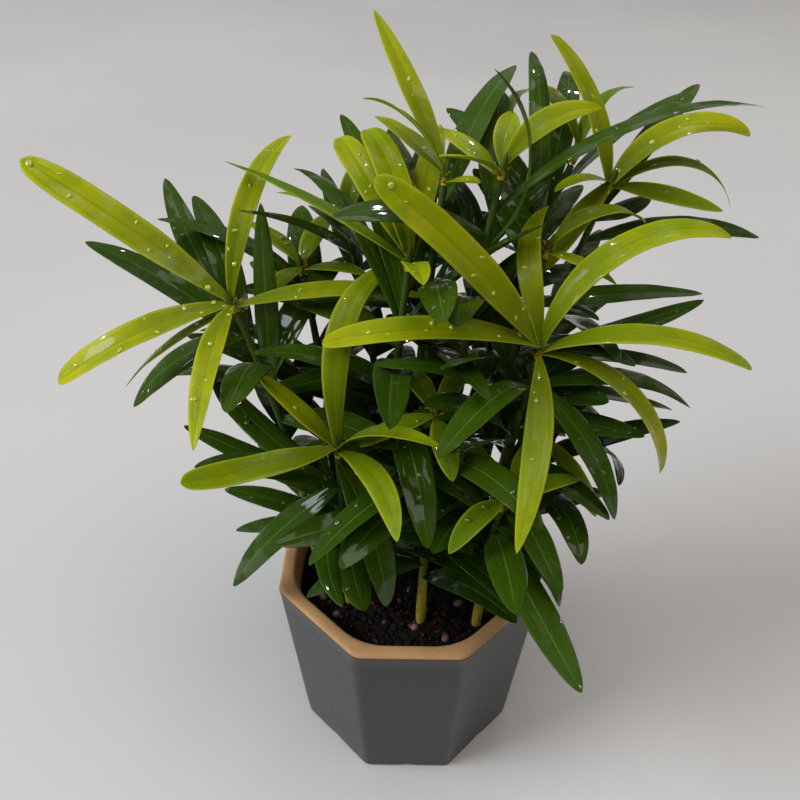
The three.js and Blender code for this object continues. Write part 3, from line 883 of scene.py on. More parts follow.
def new_geometry_tree(name, **labels_by_kind):
    """A tree of Geometry Nodes that takes a mesh and the inputs that are named by kind, and gives a mesh."""
    tree = bpy.data.node_groups.new(name, "GeometryNodeTree")
    tree.interface.new_socket("Geometry", in_out="INPUT", socket_type="NodeSocketGeometry")
    for kind, labels in labels_by_kind.items():
        for label in labels:
            tree.interface.new_socket(label, in_out="INPUT", socket_type="NodeSocket" + kind)
    tree.interface.new_socket("Geometry", in_out="OUTPUT", socket_type="NodeSocketGeometry")
    return tree, tree.nodes.new("NodeGroupInput").outputs, tree.nodes.new("NodeGroupOutput").inputs


def stored(tree, name, kind="FLOAT"):
    """A value that the mesh carries at its points."""
    return made(tree, "GeometryNodeInputNamedAttribute", {"Name": name}, data_type=kind)


def store(tree, geometry, name, value, domain="POINT"):
    inputs = {"Geometry": geometry, "Name": name, "Value": value}
    settings = {"data_type": "FLOAT", "domain": domain}
    return made(tree, "GeometryNodeStoreNamedAttribute", inputs, **settings)


def in_scene(item):
    bpy.context.scene.collection.objects.link(item)
    return item


def worked(name, mesh, tree, values):
    """The plain mesh that a tree makes of a mesh, as an object of its own."""
    blank = in_scene(bpy.data.objects.new(name + "_start", mesh))
    modifier = blank.modifiers.new("shape", "NODES")
    modifier.node_group = tree
    for item in tree.interface.items_tree:
        if item.in_out == "INPUT" and item.name in values:
            modifier[item.identifier] = values[item.name]
    graph = bpy.context.evaluated_depsgraph_get()
    shaped = blank.evaluated_get(graph)
    result = bpy.data.meshes.new_from_object(shaped, preserve_all_data_layers=True, depsgraph=graph)
    blank.modifiers.clear()
    bpy.data.objects.remove(blank)
    result.name = name
    return in_scene(bpy.data.objects.new(name, result))


def mounted(piece, slot, *nodes):
    """The piece stands in the pot and stands for nodes of the model, whose own meshes it hides. slot is not
    used.
    """
    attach(piece, "root")
    if nodes:
        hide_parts(*nodes)
    return piece


# Trees of Geometry Nodes


def make_plant_tree():
    """Lines with a half width become blades, and lines marked as round become stems and buds."""
    tree, given, result = new_geometry_tree(
        "plant_from_lines",
        Float=("Thickness", "Groove", "Fold", "Wave Height", "Wave Scale", "Seed"),
        Material=("Blade Material", "Stem Material"),
    )
    is_round = calculate(tree, "GREATER_THAN", stored(tree, "round"), 0.5)
    inputs = {0: given["Geometry"], 1: is_round}
    parts = add(tree, "GeometryNodeSeparateGeometry", inputs, domain="POINT").outputs
    blades = make_blades(tree, parts[1], given)
    stems = make_stems(tree, parts[0])
    together = add(tree, "GeometryNodeJoinGeometry")
    tree.links.new(blades, together.inputs[0])
    tree.links.new(stems, together.inputs[0])
    real = made(tree, "GeometryNodeRealizeInstances", {0: together.outputs[0]})
    smooth = made(tree, "GeometryNodeSetShadeSmooth", {0: real, "Shade Smooth": True})
    leaf = made(tree, "GeometryNodeSetMaterial", {0: smooth, "Material": given["Blade Material"]})
    inputs = {0: leaf, "Selection": is_round, "Material": given["Stem Material"]}
    both = made(tree, "GeometryNodeSetMaterial", inputs)
    tree.links.new(both, result[0])
    return tree


def make_blades(tree, lines, given):
    """A thin lens with a groove along its middle, swept along each leaf's midrib."""
    curves = made(tree, "GeometryNodeMeshToCurve", {0: lines})
    inputs = {"Curve": curves, "Normal": stored(tree, "above", "FLOAT_VECTOR")}
    curves = made(tree, "GeometryNodeSetCurveNormal", inputs, mode="FREE")
    circle = made(tree, "GeometryNodeCurvePrimitiveCircle", {"Resolution": BLADE_SEGMENTS, "Radius": 1.0})
    place = add(tree, "ShaderNodeSeparateXYZ", {0: made(tree, "GeometryNodeInputPosition")}).outputs
    side = calculate(tree, "POWER", calculate(tree, "ABSOLUTE", place[0]), CLOSER_MIDDLE)
    across = product(tree, side, calculate(tree, "SIGN", place[0]))
    circle = store(tree, circle, "across", across)
    circle = store(tree, circle, "under", calculate(tree, "LESS_THAN", place[1], 0.0))
    spread = product(tree, across, across)
    lens = product(tree, place[1], given["Thickness"])
    thin = difference(tree, 1.0, product(tree, spread, MARGIN_THINNING))
    lens = product(tree, lens, thin)
    near = calculate(tree, "SUBTRACT", 1.0, calculate(tree, "DIVIDE", side, GROOVE_REACH), clamp=True)
    groove = product(tree, near, given["Groove"])
    height = difference(tree, lens, groove)
    turned = product(tree, across, -1.0)
    spot = made(tree, "ShaderNodeCombineXYZ", {0: height, 1: turned, 2: 0.0})
    profile = made(tree, "GeometryNodeSetPosition", {0: circle, "Position": spot})
    inputs = {"Curve": curves, "Profile Curve": profile, "Scale": stored(tree, "half"), "Fill Caps": True}
    swept = made(tree, "GeometryNodeCurveToMesh", inputs)
    inputs = {"Scale": given["Wave Scale"], "W": given["Seed"], "Detail": 1.0}
    noise = made(tree, "ShaderNodeTexNoise", inputs, noise_dimensions="4D")
    edge = product(tree, stored(tree, "across"), stored(tree, "across"))
    wave = product(tree, difference(tree, noise, 0.5), given["Wave Height"])
    cup = product(tree, stored(tree, "cup"), stored(tree, "half"))
    lift = product(tree, total(tree, wave, cup), edge)
    slope = product(tree, given["Fold"], stored(tree, "half"))
    slope = product(tree, slope, calculate(tree, "ABSOLUTE", stored(tree, "across")))
    lift = total(tree, lift, slope)
    offset = scaled(tree, stored(tree, "above", "FLOAT_VECTOR"), lift)
    return made(tree, "GeometryNodeSetPosition", {0: swept, "Offset": offset})


def make_stems(tree, lines):
    """A round rod along each line, as thick as its half width says."""
    curves = made(tree, "GeometryNodeMeshToCurve", {0: lines})
    circle = made(tree, "GeometryNodeCurvePrimitiveCircle", {"Resolution": STEM_SEGMENTS, "Radius": 1.0})
    inputs = {"Curve": curves, "Profile Curve": circle, "Scale": stored(tree, "half"), "Fill Caps": True}
    return made(tree, "GeometryNodeCurveToMesh", inputs)


def make_scatter_tree(name, place_on):
    """Small round bodies strewn over a surface, each turned and sized by chance."""
    tree, given, result = new_geometry_tree(
        name,
        Float=("Distance", "Density", "Smallest", "Largest", "Flatness", "Roughness", "Lift"),
        Int=("Seed",),
        Material=("Material",),
    )
    inputs = {
        "Mesh": given["Geometry"],
        "Selection": place_on(tree),
        "Distance Min": given["Distance"],
        "Density Max": given["Density"],
        "Seed": given["Seed"],
    }
    points = add(tree, "GeometryNodeDistributePointsOnFaces", inputs, distribute_method="POISSON").outputs
    inputs = {"Segments": BODY_SEGMENTS, "Rings": BODY_RINGS, "Radius": 1.0}
    ball = made(tree, "GeometryNodeMeshUVSphere", inputs)
    wide = random_number(tree, given["Smallest"], given["Largest"], given["Seed"], 1)
    long = random_number(tree, given["Smallest"], given["Largest"], given["Seed"], 2)
    high = product(tree, calculate(tree, "MINIMUM", wide, long), given["Flatness"])
    size = made(tree, "ShaderNodeCombineXYZ", {0: wide, 1: long, 2: high})
    spin = random_number(tree, 0.0, math.tau, given["Seed"], 3)
    turn = made(tree, "ShaderNodeCombineXYZ", {2: spin})
    turned = {"Rotation": points["Rotation"], "Rotate By": turn}
    rotation = made(tree, "FunctionNodeRotateRotation", turned, rotation_space="LOCAL")
    inputs = {"Points": points["Points"], "Instance": ball, "Rotation": rotation, "Scale": size}
    bodies = made(tree, "GeometryNodeInstanceOnPoints", inputs)
    lift = made(tree, "ShaderNodeCombineXYZ", {2: given["Lift"]})
    inputs = {"Instances": bodies, "Translation": lift}
    bodies = made(tree, "GeometryNodeTranslateInstances", inputs)
    bodies = store(tree, bodies, "tone", random_number(tree, 0.0, 1.0, given["Seed"], 4), "INSTANCE")
    real = made(tree, "GeometryNodeRealizeInstances", {0: bodies})
    lumps = add(tree, "ShaderNodeTexNoise", {"Scale": BODY_LUMPS, "Detail": 1.0}).outputs[1]
    push = scaled(tree, vector_sum(tree, lumps, (-0.5, -0.5, -0.5)), given["Roughness"])
    uneven = made(tree, "GeometryNodeSetPosition", {0: real, "Offset": push})
    smooth = made(tree, "GeometryNodeSetShadeSmooth", {0: uneven, "Shade Smooth": True})
    last = made(tree, "GeometryNodeSetMaterial", {0: smooth, "Material": given["Material"]})
    tree.links.new(last, result[0])
    return tree


def random_number(tree, low, high, seed, use):
    """A random float for each point."""
    inputs = {"Min": low, "Max": high, "Seed": total(tree, seed, float(use))}
    node = tree.nodes.new("FunctionNodeRandomValue")
    node.data_type = "FLOAT"
    for socket in node.inputs:
        if socket.enabled and socket.name in inputs:
            value = inputs[socket.name]
            if isinstance(value, bpy.types.NodeSocket):
                tree.links.new(value, socket)
            else:
                socket.default_value = value
    return next(socket for socket in node.outputs if socket.enabled)


def facing_up(tree, least):
    """The faces whose direction points up by at least this share."""
    normal = made(tree, "GeometryNodeInputNormal")
    return calculate(tree, "GREATER_THAN", add(tree, "ShaderNodeSeparateXYZ", {0: normal}).outputs[2], least)


def level_ground(tree):
    """Where crumbs and pebbles may lie."""
    return facing_up(tree, LEVEL_GROUND)


def within(tree, margin):
    """The places that lie within a share of the blade's half width."""
    return calculate(tree, "LESS_THAN", calculate(tree, "ABSOLUTE", stored(tree, "across")), margin)


def wet_face(tree):
    """The upper faces of wet blades, away from their margins."""
    upper = calculate(tree, "LESS_THAN", stored(tree, "under"), UPPER_FACE)
    wet = calculate(tree, "GREATER_THAN", stored(tree, "wet"), WET_LEAF)
    both = product(tree, upper, within(tree, DROP_MARGIN))
    return product(tree, product(tree, both, wet), facing_up(tree, DROP_GROUND))


def near_tip(tree):
    """The middle of the upper face of a wet young leaf, just before its tip."""
    along = calculate(tree, "COMPARE", stored(tree, "along"), TIP_DROP["along"], TIP_DROP["reach"])
    young = calculate(tree, "GREATER_THAN", stored(tree, "fresh"), TIP_DROP["fresh"])
    middle = product(tree, along, within(tree, TIP_DROP["margin"]))
    return product(tree, middle, product(tree, young, wet_face(tree)))


# Plants


class Lines:
    """Open lines with values at their points, which the plant tree turns into blades and stems."""

    names = ("half", "along", "tone", "fresh", "scaly", "cup", "wet", "round")

    def __init__(self):
        self.points = []
        self.edges = []
        self.above = []
        self.values = {name: [] for name in self.names}

    def line(self, stations, **shared):
        """stations: point, direction out of the upper face, half width, share of the length."""
        first = len(self.points)
        for i, (point, above, half, along) in enumerate(stations):
            self.points.append(point * MM)
            self.above.append(above)
            facts = {"half": half * MM, "along": along, **shared}
            for name in self.names:
                self.values[name].append(facts.get(name, 0.0))
            if i:
                self.edges.append((first + i - 1, first + i))

    def mesh(self, name):
        mesh = bpy.data.meshes.new(name)
        mesh.from_pydata(self.points, self.edges, [])
        for key, values in self.values.items():
            mesh.attributes.new(key, "FLOAT", "POINT").data.foreach_set("value", values)
        above = mesh.attributes.new("above", "FLOAT_VECTOR", "POINT")
        above.data.foreach_set("vector", [part for vector in self.above for part in vector])
        return mesh


def leaf_stations(leaf, stem, twist):
    """Stations that lie closer together towards the blunt tip."""
    shares = [BLADE_END * math.sin(math.pi / 2 * i / (LEAF_STATIONS - 1)) for i in range(LEAF_STATIONS)]
    place = leaf_start(leaf, stem)
    stations = []
    before = 0
    for share in shares:
        place = place + leaf_frame(leaf, (share + before) / 2)[0] * (share - before) * leaf["length"]
        closing = max(0, (share - TIP_START) / (BLADE_END - TIP_START))
        half = leaf["width"] / 2 * width_share(leaf["kind"], share) * (1 - min(1, closing) ** 3) ** 0.5
        stations.append((place, leaf_frame(leaf, share, twist)[2], max(half, LEAST_HALF), share))
        before = share
    return stations


def add_leaf(lines, leaf, stem, chance, tone, fresh):
    shared = {
        "tone": min(1, max(0, tone + chance.uniform(-TONE_SPREAD, TONE_SPREAD))),
        "fresh": min(1, max(0, fresh + chance.uniform(-FRESH_SPREAD, FRESH_SPREAD))),
        "cup": chance.uniform(*CUP_RANGE),
        "wet": 1.0 if chance.random() < WET_SHARE + WETTER_WHEN_FRESH * fresh else 0.0,
    }
    lines.line(leaf_stations(leaf, stem, chance.uniform(-TWIST_SPREAD, TWIST_SPREAD)), **shared)


def add_scales(lines, stem, chance):
    """Short brown scales round the place where the new shoot leaves the old stem."""
    for i in range(SCALE_COUNT):
        scale = {key: chance.uniform(*ends) for key, ends in SCALE_RANGES.items()}
        scale |= {"sweep": 0, "roll": 0, "kind": MATURE}
        scale["azimuth"] = GOLDEN_ANGLE * i + scale["turn"]
        scale["share"] = lerp(stem.shoot_share - SCALE_START, SCALE_END, i / SCALE_COUNT)
        lines.line(leaf_stations(scale, stem, 0), tone=chance.random(), scaly=1.0)


def stem_stations(stem):
    """The taproot, and the slightly uneven stem up to where the new shoot begins."""
    up = Vector((0, 0, 1))
    side = Vector((0, 1, 0))
    root = stem.foot - up * (ROOT_LENGTH + ROOT_POINT)
    stations = [(root, side, ROOT_END_RADIUS, 0), (stem.foot - up * ROOT_LENGTH, side, ROOT_TIP_RADIUS, 0)]
    for i in range(STEM_STATIONS + 1):
        share = i / STEM_STATIONS
        swell = 1 + STEM_SWELL * math.sin(STEM_SWELLS * share)
        radius = lerp(STEM_FOOT_RADIUS, STEM_TOP_RADIUS, share) * swell
        stations.append((stem.point(share * stem.shoot_share), side, radius, share))
    return stations


def shoot_stations(stem):
    side = Vector((0, 1, 0))
    ahead = stem.direction(1)
    seat = stem.point(stem.shoot_share) + stem.direction(stem.shoot_share) * GAP
    stations = [(seat, side, STEM_TOP_RADIUS * SHOOT_SHARE, 0)]
    for along, radius in BUD_CURVE:
        stations.append((stem.tip + ahead * along, side, radius, BUD_SHARE + BUD_SHARE * along / BUD_LENGTH))
    return stations


def make_plants(frame, tree, finishes):
    """A piece for each seedling and one for each of their flushes."""
    pieces = []
    for index, plant in enumerate(PLANTS):
        label = f"{index + 1:02d}"
        chance = random.Random(PLANT_SEED + index)
        stem = Stem(plant)
        old = grow_old_leaves(plant, index, stem, points_of(frame["nodes"]["seedling_" + label]), chance)
        new = grow_new_leaves(plant, index, stem, points_of(frame["nodes"]["flush_" + label]), chance)
        old.line(stem_stations(stem), tone=chance.random(), round=1.0)
        new.line(shoot_stations(stem), tone=chance.random(), round=1.0, fresh=1.0)
        add_scales(new, stem, chance)
        for lines, blade, name, slot, node in (
            (old, OLD_BLADE, "leafy_stem_", "mature_leaf", "seedling_"),
            (new, NEW_BLADE, "new_growth_", "young_leaf", "flush_"),
        ):
            values = {**blade, "Seed": float(index), "Stem Material": finishes["stem"]}
            values["Blade Material"] = finishes[slot]
            piece = worked(name + label, lines.mesh(name + "lines_" + label), tree, values)
            pieces.append(mounted(piece, slot, node + label))
    return pieces


def grow_old_leaves(plant, index, stem, points, chance):
    lines = Lines()
    listed = [listed_leaf(numbers[1:], numbers[0], MATURE) for numbers in plant["mature"]]
    kept = [i for i in range(plant["count"] + plant["lower"]) if i not in plant["dropped"]]
    spiral = [spiral_leaf(plant, index, i) for i in kept]
    for wish in listed + spiral:
        leaf = grown(wish, stem, points)
        if leaf:
            tone = OLD_TONE + TONE_RISE * (leaf["share"] - TONE_FOOT)
            add_leaf(lines, leaf, stem, chance, tone, 0)
    return lines


def grow_new_leaves(plant, index, stem, points, chance):
    lines = Lines()
    count = len(plant["young"])
    for i, numbers in enumerate(plant["young"]):
        kind = NARROW_YOUNG if numbers[-1] < NARROW_WIDTH else YOUNG
        leaf = grown(listed_leaf(numbers, 1 - HOLD_ROOM * i / count, kind), stem, points)
        if leaf:
            fresh = DULL_LEAVES.get((index, i), FRESHNESS[index])
            add_leaf(lines, leaf, stem, chance, NEW_TONE, fresh)
    return lines


# Pot and soil


def octagon(width, rounding):
    """Points round an octagon with rounded corners, and each one's share of its side, 0 in the middle."""
    outline = []
    half = width / 2
    long_half = SIDE_SHARE * width / 2
    side_turn = 360 / SIDES
    for side in range(SIDES):
        angle = radians_of(-90 + side_turn * side)
        out = Vector((math.cos(angle), math.sin(angle)))
        along = Vector((-out.y, out.x))
        straight = side % 2 == 0
        reach = half if straight else (half + long_half) / math.sqrt(2)
        side_half = long_half if straight else (half - long_half) / math.sqrt(2)
        flat = side_half - rounding * math.tan(radians_of(side_turn / 2))
        for i in range(SIDE_STEPS + 1):
            share = 2 * i / SIDE_STEPS - 1
            outline.append((out * reach + along * share * flat, share))
        centre = out * (reach - rounding) + along * flat
        for i in range(1, CORNER_STEPS):
            turn = angle + radians_of(side_turn * i / CORNER_STEPS)
            outline.append((centre + Vector((math.cos(turn), math.sin(turn))) * rounding, 1))
    return outline


def width_at(z):
    return FOOT_WIDTH + (RIM_WIDTH - FOOT_WIDTH) * z / POT_HEIGHT


def inner_width(z):
    return width_at(z) - 2 * WALL


def ring(width, rounding, z, arch=0):
    """A ring of points, with a low arch in the middle of each side where one is asked for."""
    points = []
    for place, share in octagon(width, rounding):
        lift = arch * math.cos(math.pi / 2 * min(1, abs(share) / ARCH_SHARE)) ** 2
        points.append(Vector((place.x, place.y, z + lift)) * MM)
    return points


def drain_ring(z):
    places = [place.normalized() * DRAIN_WIDTH / 2 for place, _ in octagon(FOOT_WIDTH, OUTER_ROUND)]
    return [Vector((place.x, place.y, z)) * MM for place in places]


def lofted(name, rings, marks, ends=()):
    """A closed skin over rings of points, which ends in two points or comes back to its first ring.

    marks holds one value for each ring, which the skin carries as bare.
    """
    count = len(rings[0])
    points = [point for one in rings for point in one]
    values = [mark for mark in marks for _ in range(count)]
    faces = []
    for r in range(len(rings) - 1 if ends else len(rings)):
        a, b = r * count, (r + 1) % len(rings) * count
        faces += [(a + i, a + (i + 1) % count, b + (i + 1) % count, b + i) for i in range(count)]
    if ends:
        first, last, top = len(points), len(points) + 1, len(points) - count
        points += ends
        values += [marks[0], marks[-1]]
        faces += [(first, (i + 1) % count, i) for i in range(count)]
        faces += [(top + i, top + (i + 1) % count, last) for i in range(count)]
    mesh = bpy.data.meshes.new(name)
    mesh.from_pydata(points, [], faces)
    mesh.attributes.new("bare", "FLOAT", "POINT").data.foreach_set("value", values)
    mesh.shade_smooth()
    return in_scene(bpy.data.objects.new(name, mesh))


def make_pot(finish):
    """The pot, from the outside of its foot over the lip to the floor, and back through the drain hole."""
    rings = [ring(FOOT_WIDTH + wider, OUTER_ROUND, z, ARCH_HEIGHT) for wider, z in FOOT_CURVE]
    for i in range(1, WALL_STEPS + 1):
        z = lerp(WALL_START, POT_HEIGHT - LIP_ROUND, i / WALL_STEPS)
        rings.append(ring(width_at(z), lerp(OUTER_ROUND, RIM_ROUND, z / POT_HEIGHT), z))
    marks = [0.0] * len(rings)
    for wider, higher, mark in LIP_CURVE:
        share = -wider / (2 * WALL)
        rings.append(ring(RIM_WIDTH + wider, lerp(RIM_ROUND, INNER_ROUND, share), POT_HEIGHT + higher))
        marks.append(mark)
    for z in (POT_HEIGHT - BELOW_LIP, SOIL_TOP, MID_WALL, FLOOR_TOP + FLOOR_ROUND):
        rings.append(ring(inner_width(z), INNER_ROUND, z))
    rings.append(ring(inner_width(FLOOR_TOP) - FLOOR_BEND, INNER_ROUND - 1, FLOOR_TOP + FLOOR_BEND_HEIGHT))
    rings.append(ring(inner_width(FLOOR_TOP) - FLOOR_ROUND, FLOOR_CORNER, FLOOR_TOP))
    rings += [drain_ring(FLOOR_TOP), drain_ring(FOOT_RECESS)]
    inner_foot = FOOT_WIDTH - 2 * FOOT_RING
    rings += [ring(inner_foot + wider, OUTER_ROUND, z, arch) for wider, z, arch in INNER_FOOT_CURVE]
    marks += [1.0] * (len(rings) - len(marks))
    pot = lofted("octagonal_pot", rings, marks)
    pot.data.materials.append(finish)
    return mounted(pot, "clay", "pot")


def soil_height(x, y):
    """The solid's low waves and lumps, with finer lumps on them."""
    waves = math.sin(x * 0.16 + 0.7) * math.cos(y * 0.19 - 0.4)
    lumps = math.sin(x * 0.93 + 1.9 * math.sin(y * 0.51)) * math.sin(y * 0.87 + 1.4 * math.sin(x * 0.47))
    fine = math.sin(x * 2.3 + 2.2 * math.sin(y * 1.7)) * math.sin(y * 2.6 + 1.7 * math.sin(x * 1.9 + 1))
    return SOIL_TOP + SOIL_RELIEF * (0.5 * waves + 0.5 * lumps) + FINE_RELIEF * fine


def make_soil(finish):
    edge = [place for place, _ in octagon(inner_width(SOIL_TOP) - 2 * GAP, INNER_ROUND)]
    floor_edge = FLOOR_TOP + FLOOR_ROUND
    rings = [
        ring(inner_width(FLOOR_TOP) - FLOOR_ROUND - 2 * GAP, FLOOR_CORNER, FLOOR_TOP + GAP),
        ring(inner_width(floor_edge) - 2 * GAP, INNER_ROUND, floor_edge),
    ]
    for k in range(SOIL_RINGS, 0, -1):
        share = k / SOIL_RINGS
        places = [place * share for place in edge]
        drop = SOIL_EDGE_DROP * max(0, 1 - (SOIL_RINGS - k) / SOIL_EDGE_RINGS)
        calm = SOIL_EDGE_RELIEF if k == SOIL_RINGS else 1
        heights = [SOIL_TOP + (soil_height(p.x, p.y) - SOIL_TOP) * calm - drop for p in places]
        rings.append([Vector((p.x, p.y, z)) * MM for p, z in zip(places, heights)])
    ends = [Vector((0, 0, z)) * MM for z in (FLOOR_TOP + GAP, soil_height(0, 0))]
    soil = lofted("soil_bed", rings, [0.0] * len(rings), ends)
    soil.data.materials.append(finish)
    return mounted(soil, "earth", "soil")


def make_crumbs(soil, finishes):
    """Crumbs of earth and bark all over the soil, with a few pale pebbles among them."""
    tree = make_scatter_tree("strewn_on_soil", level_ground)
    for name, values, finish in (("soil_crumbs", CRUMBS, "crumb"), ("soil_pebbles", PEBBLES, "pebble")):
        piece = worked(name, soil.data.copy(), tree, {**values, "Material": finishes[finish]})
        mounted(piece, "earth")


def make_drops(blades, finish):
    """Flat drops of water on the upper faces of the wet leaves, and a large one near the tip of some."""
    wet = merged_mesh("wet_leaves", blades)
    kinds = (("water_drops", DROPS, wet_face), ("drops_at_tips", LARGE_DROPS, near_tip))
    for name, values, place_on in kinds:
        tree = make_scatter_tree(name + "_on_leaves", place_on)
        piece = worked(name, wet.copy(), tree, {**values, "Material": finish})
        mounted(piece, "young_leaf")


def merged_mesh(name, pieces):
    """One mesh with the points, faces and values of several."""
    points, faces = [], []
    values = {key: [] for key in ("across", "along", "under", "wet", "fresh")}
    for piece in pieces:
        first = len(points)
        points += [vertex.co.copy() for vertex in piece.data.vertices]
        faces += [[first + i for i in face.vertices] for face in piece.data.polygons]
        for key, all_of_it in values.items():
            all_of_it += [item.value for item in piece.data.attributes[key].data]
    mesh = bpy.data.meshes.new(name)
    mesh.from_pydata(points, [], faces)
    for key, all_of_it in values.items():
        mesh.attributes.new(key, "FLOAT", "POINT").data.foreach_set("value", all_of_it)
    return mesh


# Finishes


def new_group(name, inputs, outputs):
    """A group of shader nodes with named float inputs and outputs."""
    group = bpy.data.node_groups.new(name, "ShaderNodeTree")
    for label in inputs:
        group.interface.new_socket(label, in_out="INPUT", socket_type="NodeSocketFloat")
    for label in outputs:
        group.interface.new_socket(label, in_out="OUTPUT", socket_type="NodeSocketFloat")
    return group, group.nodes.new("NodeGroupInput").outputs, group.nodes.new("NodeGroupOutput").inputs


def make_patch_group():
    """Soft patches over the surface, from 0 to 1, at a size in patches per metre."""
    names = ("Scale", "Detail", "Low", "High", "Shift")
    group, given, result = new_group("soft_patches", names, ("Patches",))
    place = add(group, "ShaderNodeTexCoord").outputs["Object"]
    away = made(group, "ShaderNodeCombineXYZ", {0: given["Shift"], 1: 0.0, 2: given["Shift"]})
    inputs = {"Vector": vector_sum(group, place, away), "Scale": given["Scale"], "Detail": given["Detail"]}
    noise = made(group, "ShaderNodeTexNoise", inputs)
    group.links.new(remap(group, noise, given["Low"], given["High"]), result["Patches"])
    return group


def make_vein_group():
    """The lengthwise streaks, the midrib and the margins of a blade, from the values that it carries."""
    names = ("Streak Count", "Midrib Width", "Margin Start")
    group, given, result = new_group("blade_veins", names, ("Streaks", "Midrib", "Margins", "Along"))
    across, along, tone = (carried(group, name) for name in ("across", "along", "tone"))
    side = calculate(group, "ABSOLUTE", across)
    inputs = {
        0: product(group, across, given["Streak Count"]),
        1: product(group, along, STREAK_WANDER),
        2: product(group, tone, STREAK_CHANGE),
    }
    spot = made(group, "ShaderNodeCombineXYZ", inputs)
    noise = made(group, "ShaderNodeTexNoise", {"Vector": spot, "Scale": 1.0, "Detail": 2.0})
    group.links.new(remap(group, noise, 0.3, 0.7), result["Streaks"])
    inner = product(group, given["Midrib Width"], MIDRIB_CORE)
    rib = difference(group, 1.0, remap(group, side, inner, given["Midrib Width"]))
    fade = difference(group, 1.0, remap(group, along, MIDRIB_FADE_START, 1.0, 0.0, MIDRIB_FADE))
    group.links.new(product(group, rib, fade), result["Midrib"])
    group.links.new(remap(group, side, given["Margin Start"], 1.0), result["Margins"])
    group.links.new(along, result["Along"])
    return group


def placed(tree, group, **values):
    """A group in a material, with its own values. An underscore stands for a space."""
    node = tree.nodes.new("ShaderNodeGroup")
    node.node_tree = group
    for name, value in values.items():
        node.inputs[name.replace("_", " ")].default_value = value
    return node.outputs


def patchy(tree, patches, scale, detail, shift, low=0.3, high=0.7):
    """The group of soft patches, which are absent below low and full above high."""
    return placed(tree, patches, Scale=scale, Detail=detail, Low=low, High=high, Shift=shift)["Patches"]


def carried(tree, name):
    """A value that the mesh carries, as a number."""
    return add(tree, "ShaderNodeAttribute", attribute_name=name).outputs["Fac"]


def new_finish(name, **constants):
    """A material and its shader, with the values that are the same all over set on the shader itself."""
    material = bpy.data.materials.new(name)
    material.use_nodes = True
    tree = material.node_tree
    shader = tree.nodes["Principled BSDF"]
    for label, value in constants.items():
        shader.inputs[label.replace("_", " ")].default_value = value
    return material, tree, shader


def finish_with(tree, shader, base, roughness=None, height=None, strength=0.0, distance=0.0):
    """Colour, gloss and relief come to the shader. strength and distance say how deep the relief looks."""
    tree.links.new(base, shader.inputs["Base Color"])
    if roughness is not None:
        tree.links.new(roughness, shader.inputs["Roughness"])
    if height is not None:
        inputs = {"Strength": strength, "Distance": distance, "Height": height}
        tree.links.new(made(tree, "ShaderNodeBump", inputs), shader.inputs["Normal"])


def shade(tree, share, first, second):
    """A colour between two, each from 0 to 255."""
    return blend(tree, share, colour(*first), colour(*second))


def veined(tree, body, vein, tints):
    """A leaf's colour with a tint of its own over each of its veins' places, and over its underside."""
    for name, (strength, tint) in tints.items():
        places = carried(tree, "under") if name == "Underside" else vein[name]
        body = tinted(tree, body, places, strength, tint)
    return body


def young_leaf_finish(patches, veins):
    """Lime new leaves: olive at the base, paler along the margins, with fine streaks and a soft gloss."""
    coat = {"Coat_Roughness": 0.06, "Coat_IOR": 1.35}
    material, tree, shader = new_finish("young_leaf", Specular_IOR_Level=0.05, **coat, **THIN_LEAF)
    tone, fresh = carried(tree, "tone"), carried(tree, "fresh")
    vein = placed(tree, veins, Streak_Count=7.0, Midrib_Width=0.12, Margin_Start=0.72)
    broad = patchy(tree, patches, scale=70.0, detail=2.0, shift=3.0)
    green_patches = patchy(tree, patches, scale=110.0, detail=3.0, shift=23.0, low=0.45, high=0.65)
    fine = patchy(tree, patches, scale=900.0, detail=3.0, shift=7.0, low=0.3, high=0.75)
    wet = patchy(tree, patches, scale=95.0, detail=2.0, shift=41.0, low=0.5, high=0.6)
    lime = tinted(tree, shade(tree, tone, *LIME), broad, 0.45, WARM_LIME)
    lime = tinted(tree, lime, green_patches, 0.4, GREENER_LIME)
    body = blend(tree, fresh, shade(tree, tone, *LEAF_GREEN), lime)
    base = remap(tree, vein["Along"], 0.0, OLIVE_END, OLIVE_STRENGTH, 0.0)
    body = veined(tree, blend(tree, base, body, colour(*OLIVE)), vein, YOUNG_TINTS)
    body = blend(tree, carried(tree, "scaly"), body, colour(*SCALE_BROWN))
    height = total(tree, vein["Streaks"], product(tree, fine, GRAIN_RELIEF))
    height = total(tree, height, product(tree, wet, WET_RELIEF))
    finish_with(tree, shader, body, between(tree, fine, 0.26, 0.46), height, strength=0.12, distance=0.0002)
    tree.links.new(product(tree, wet, YOUNG_SHINE), shader.inputs["Coat Weight"])
    return material


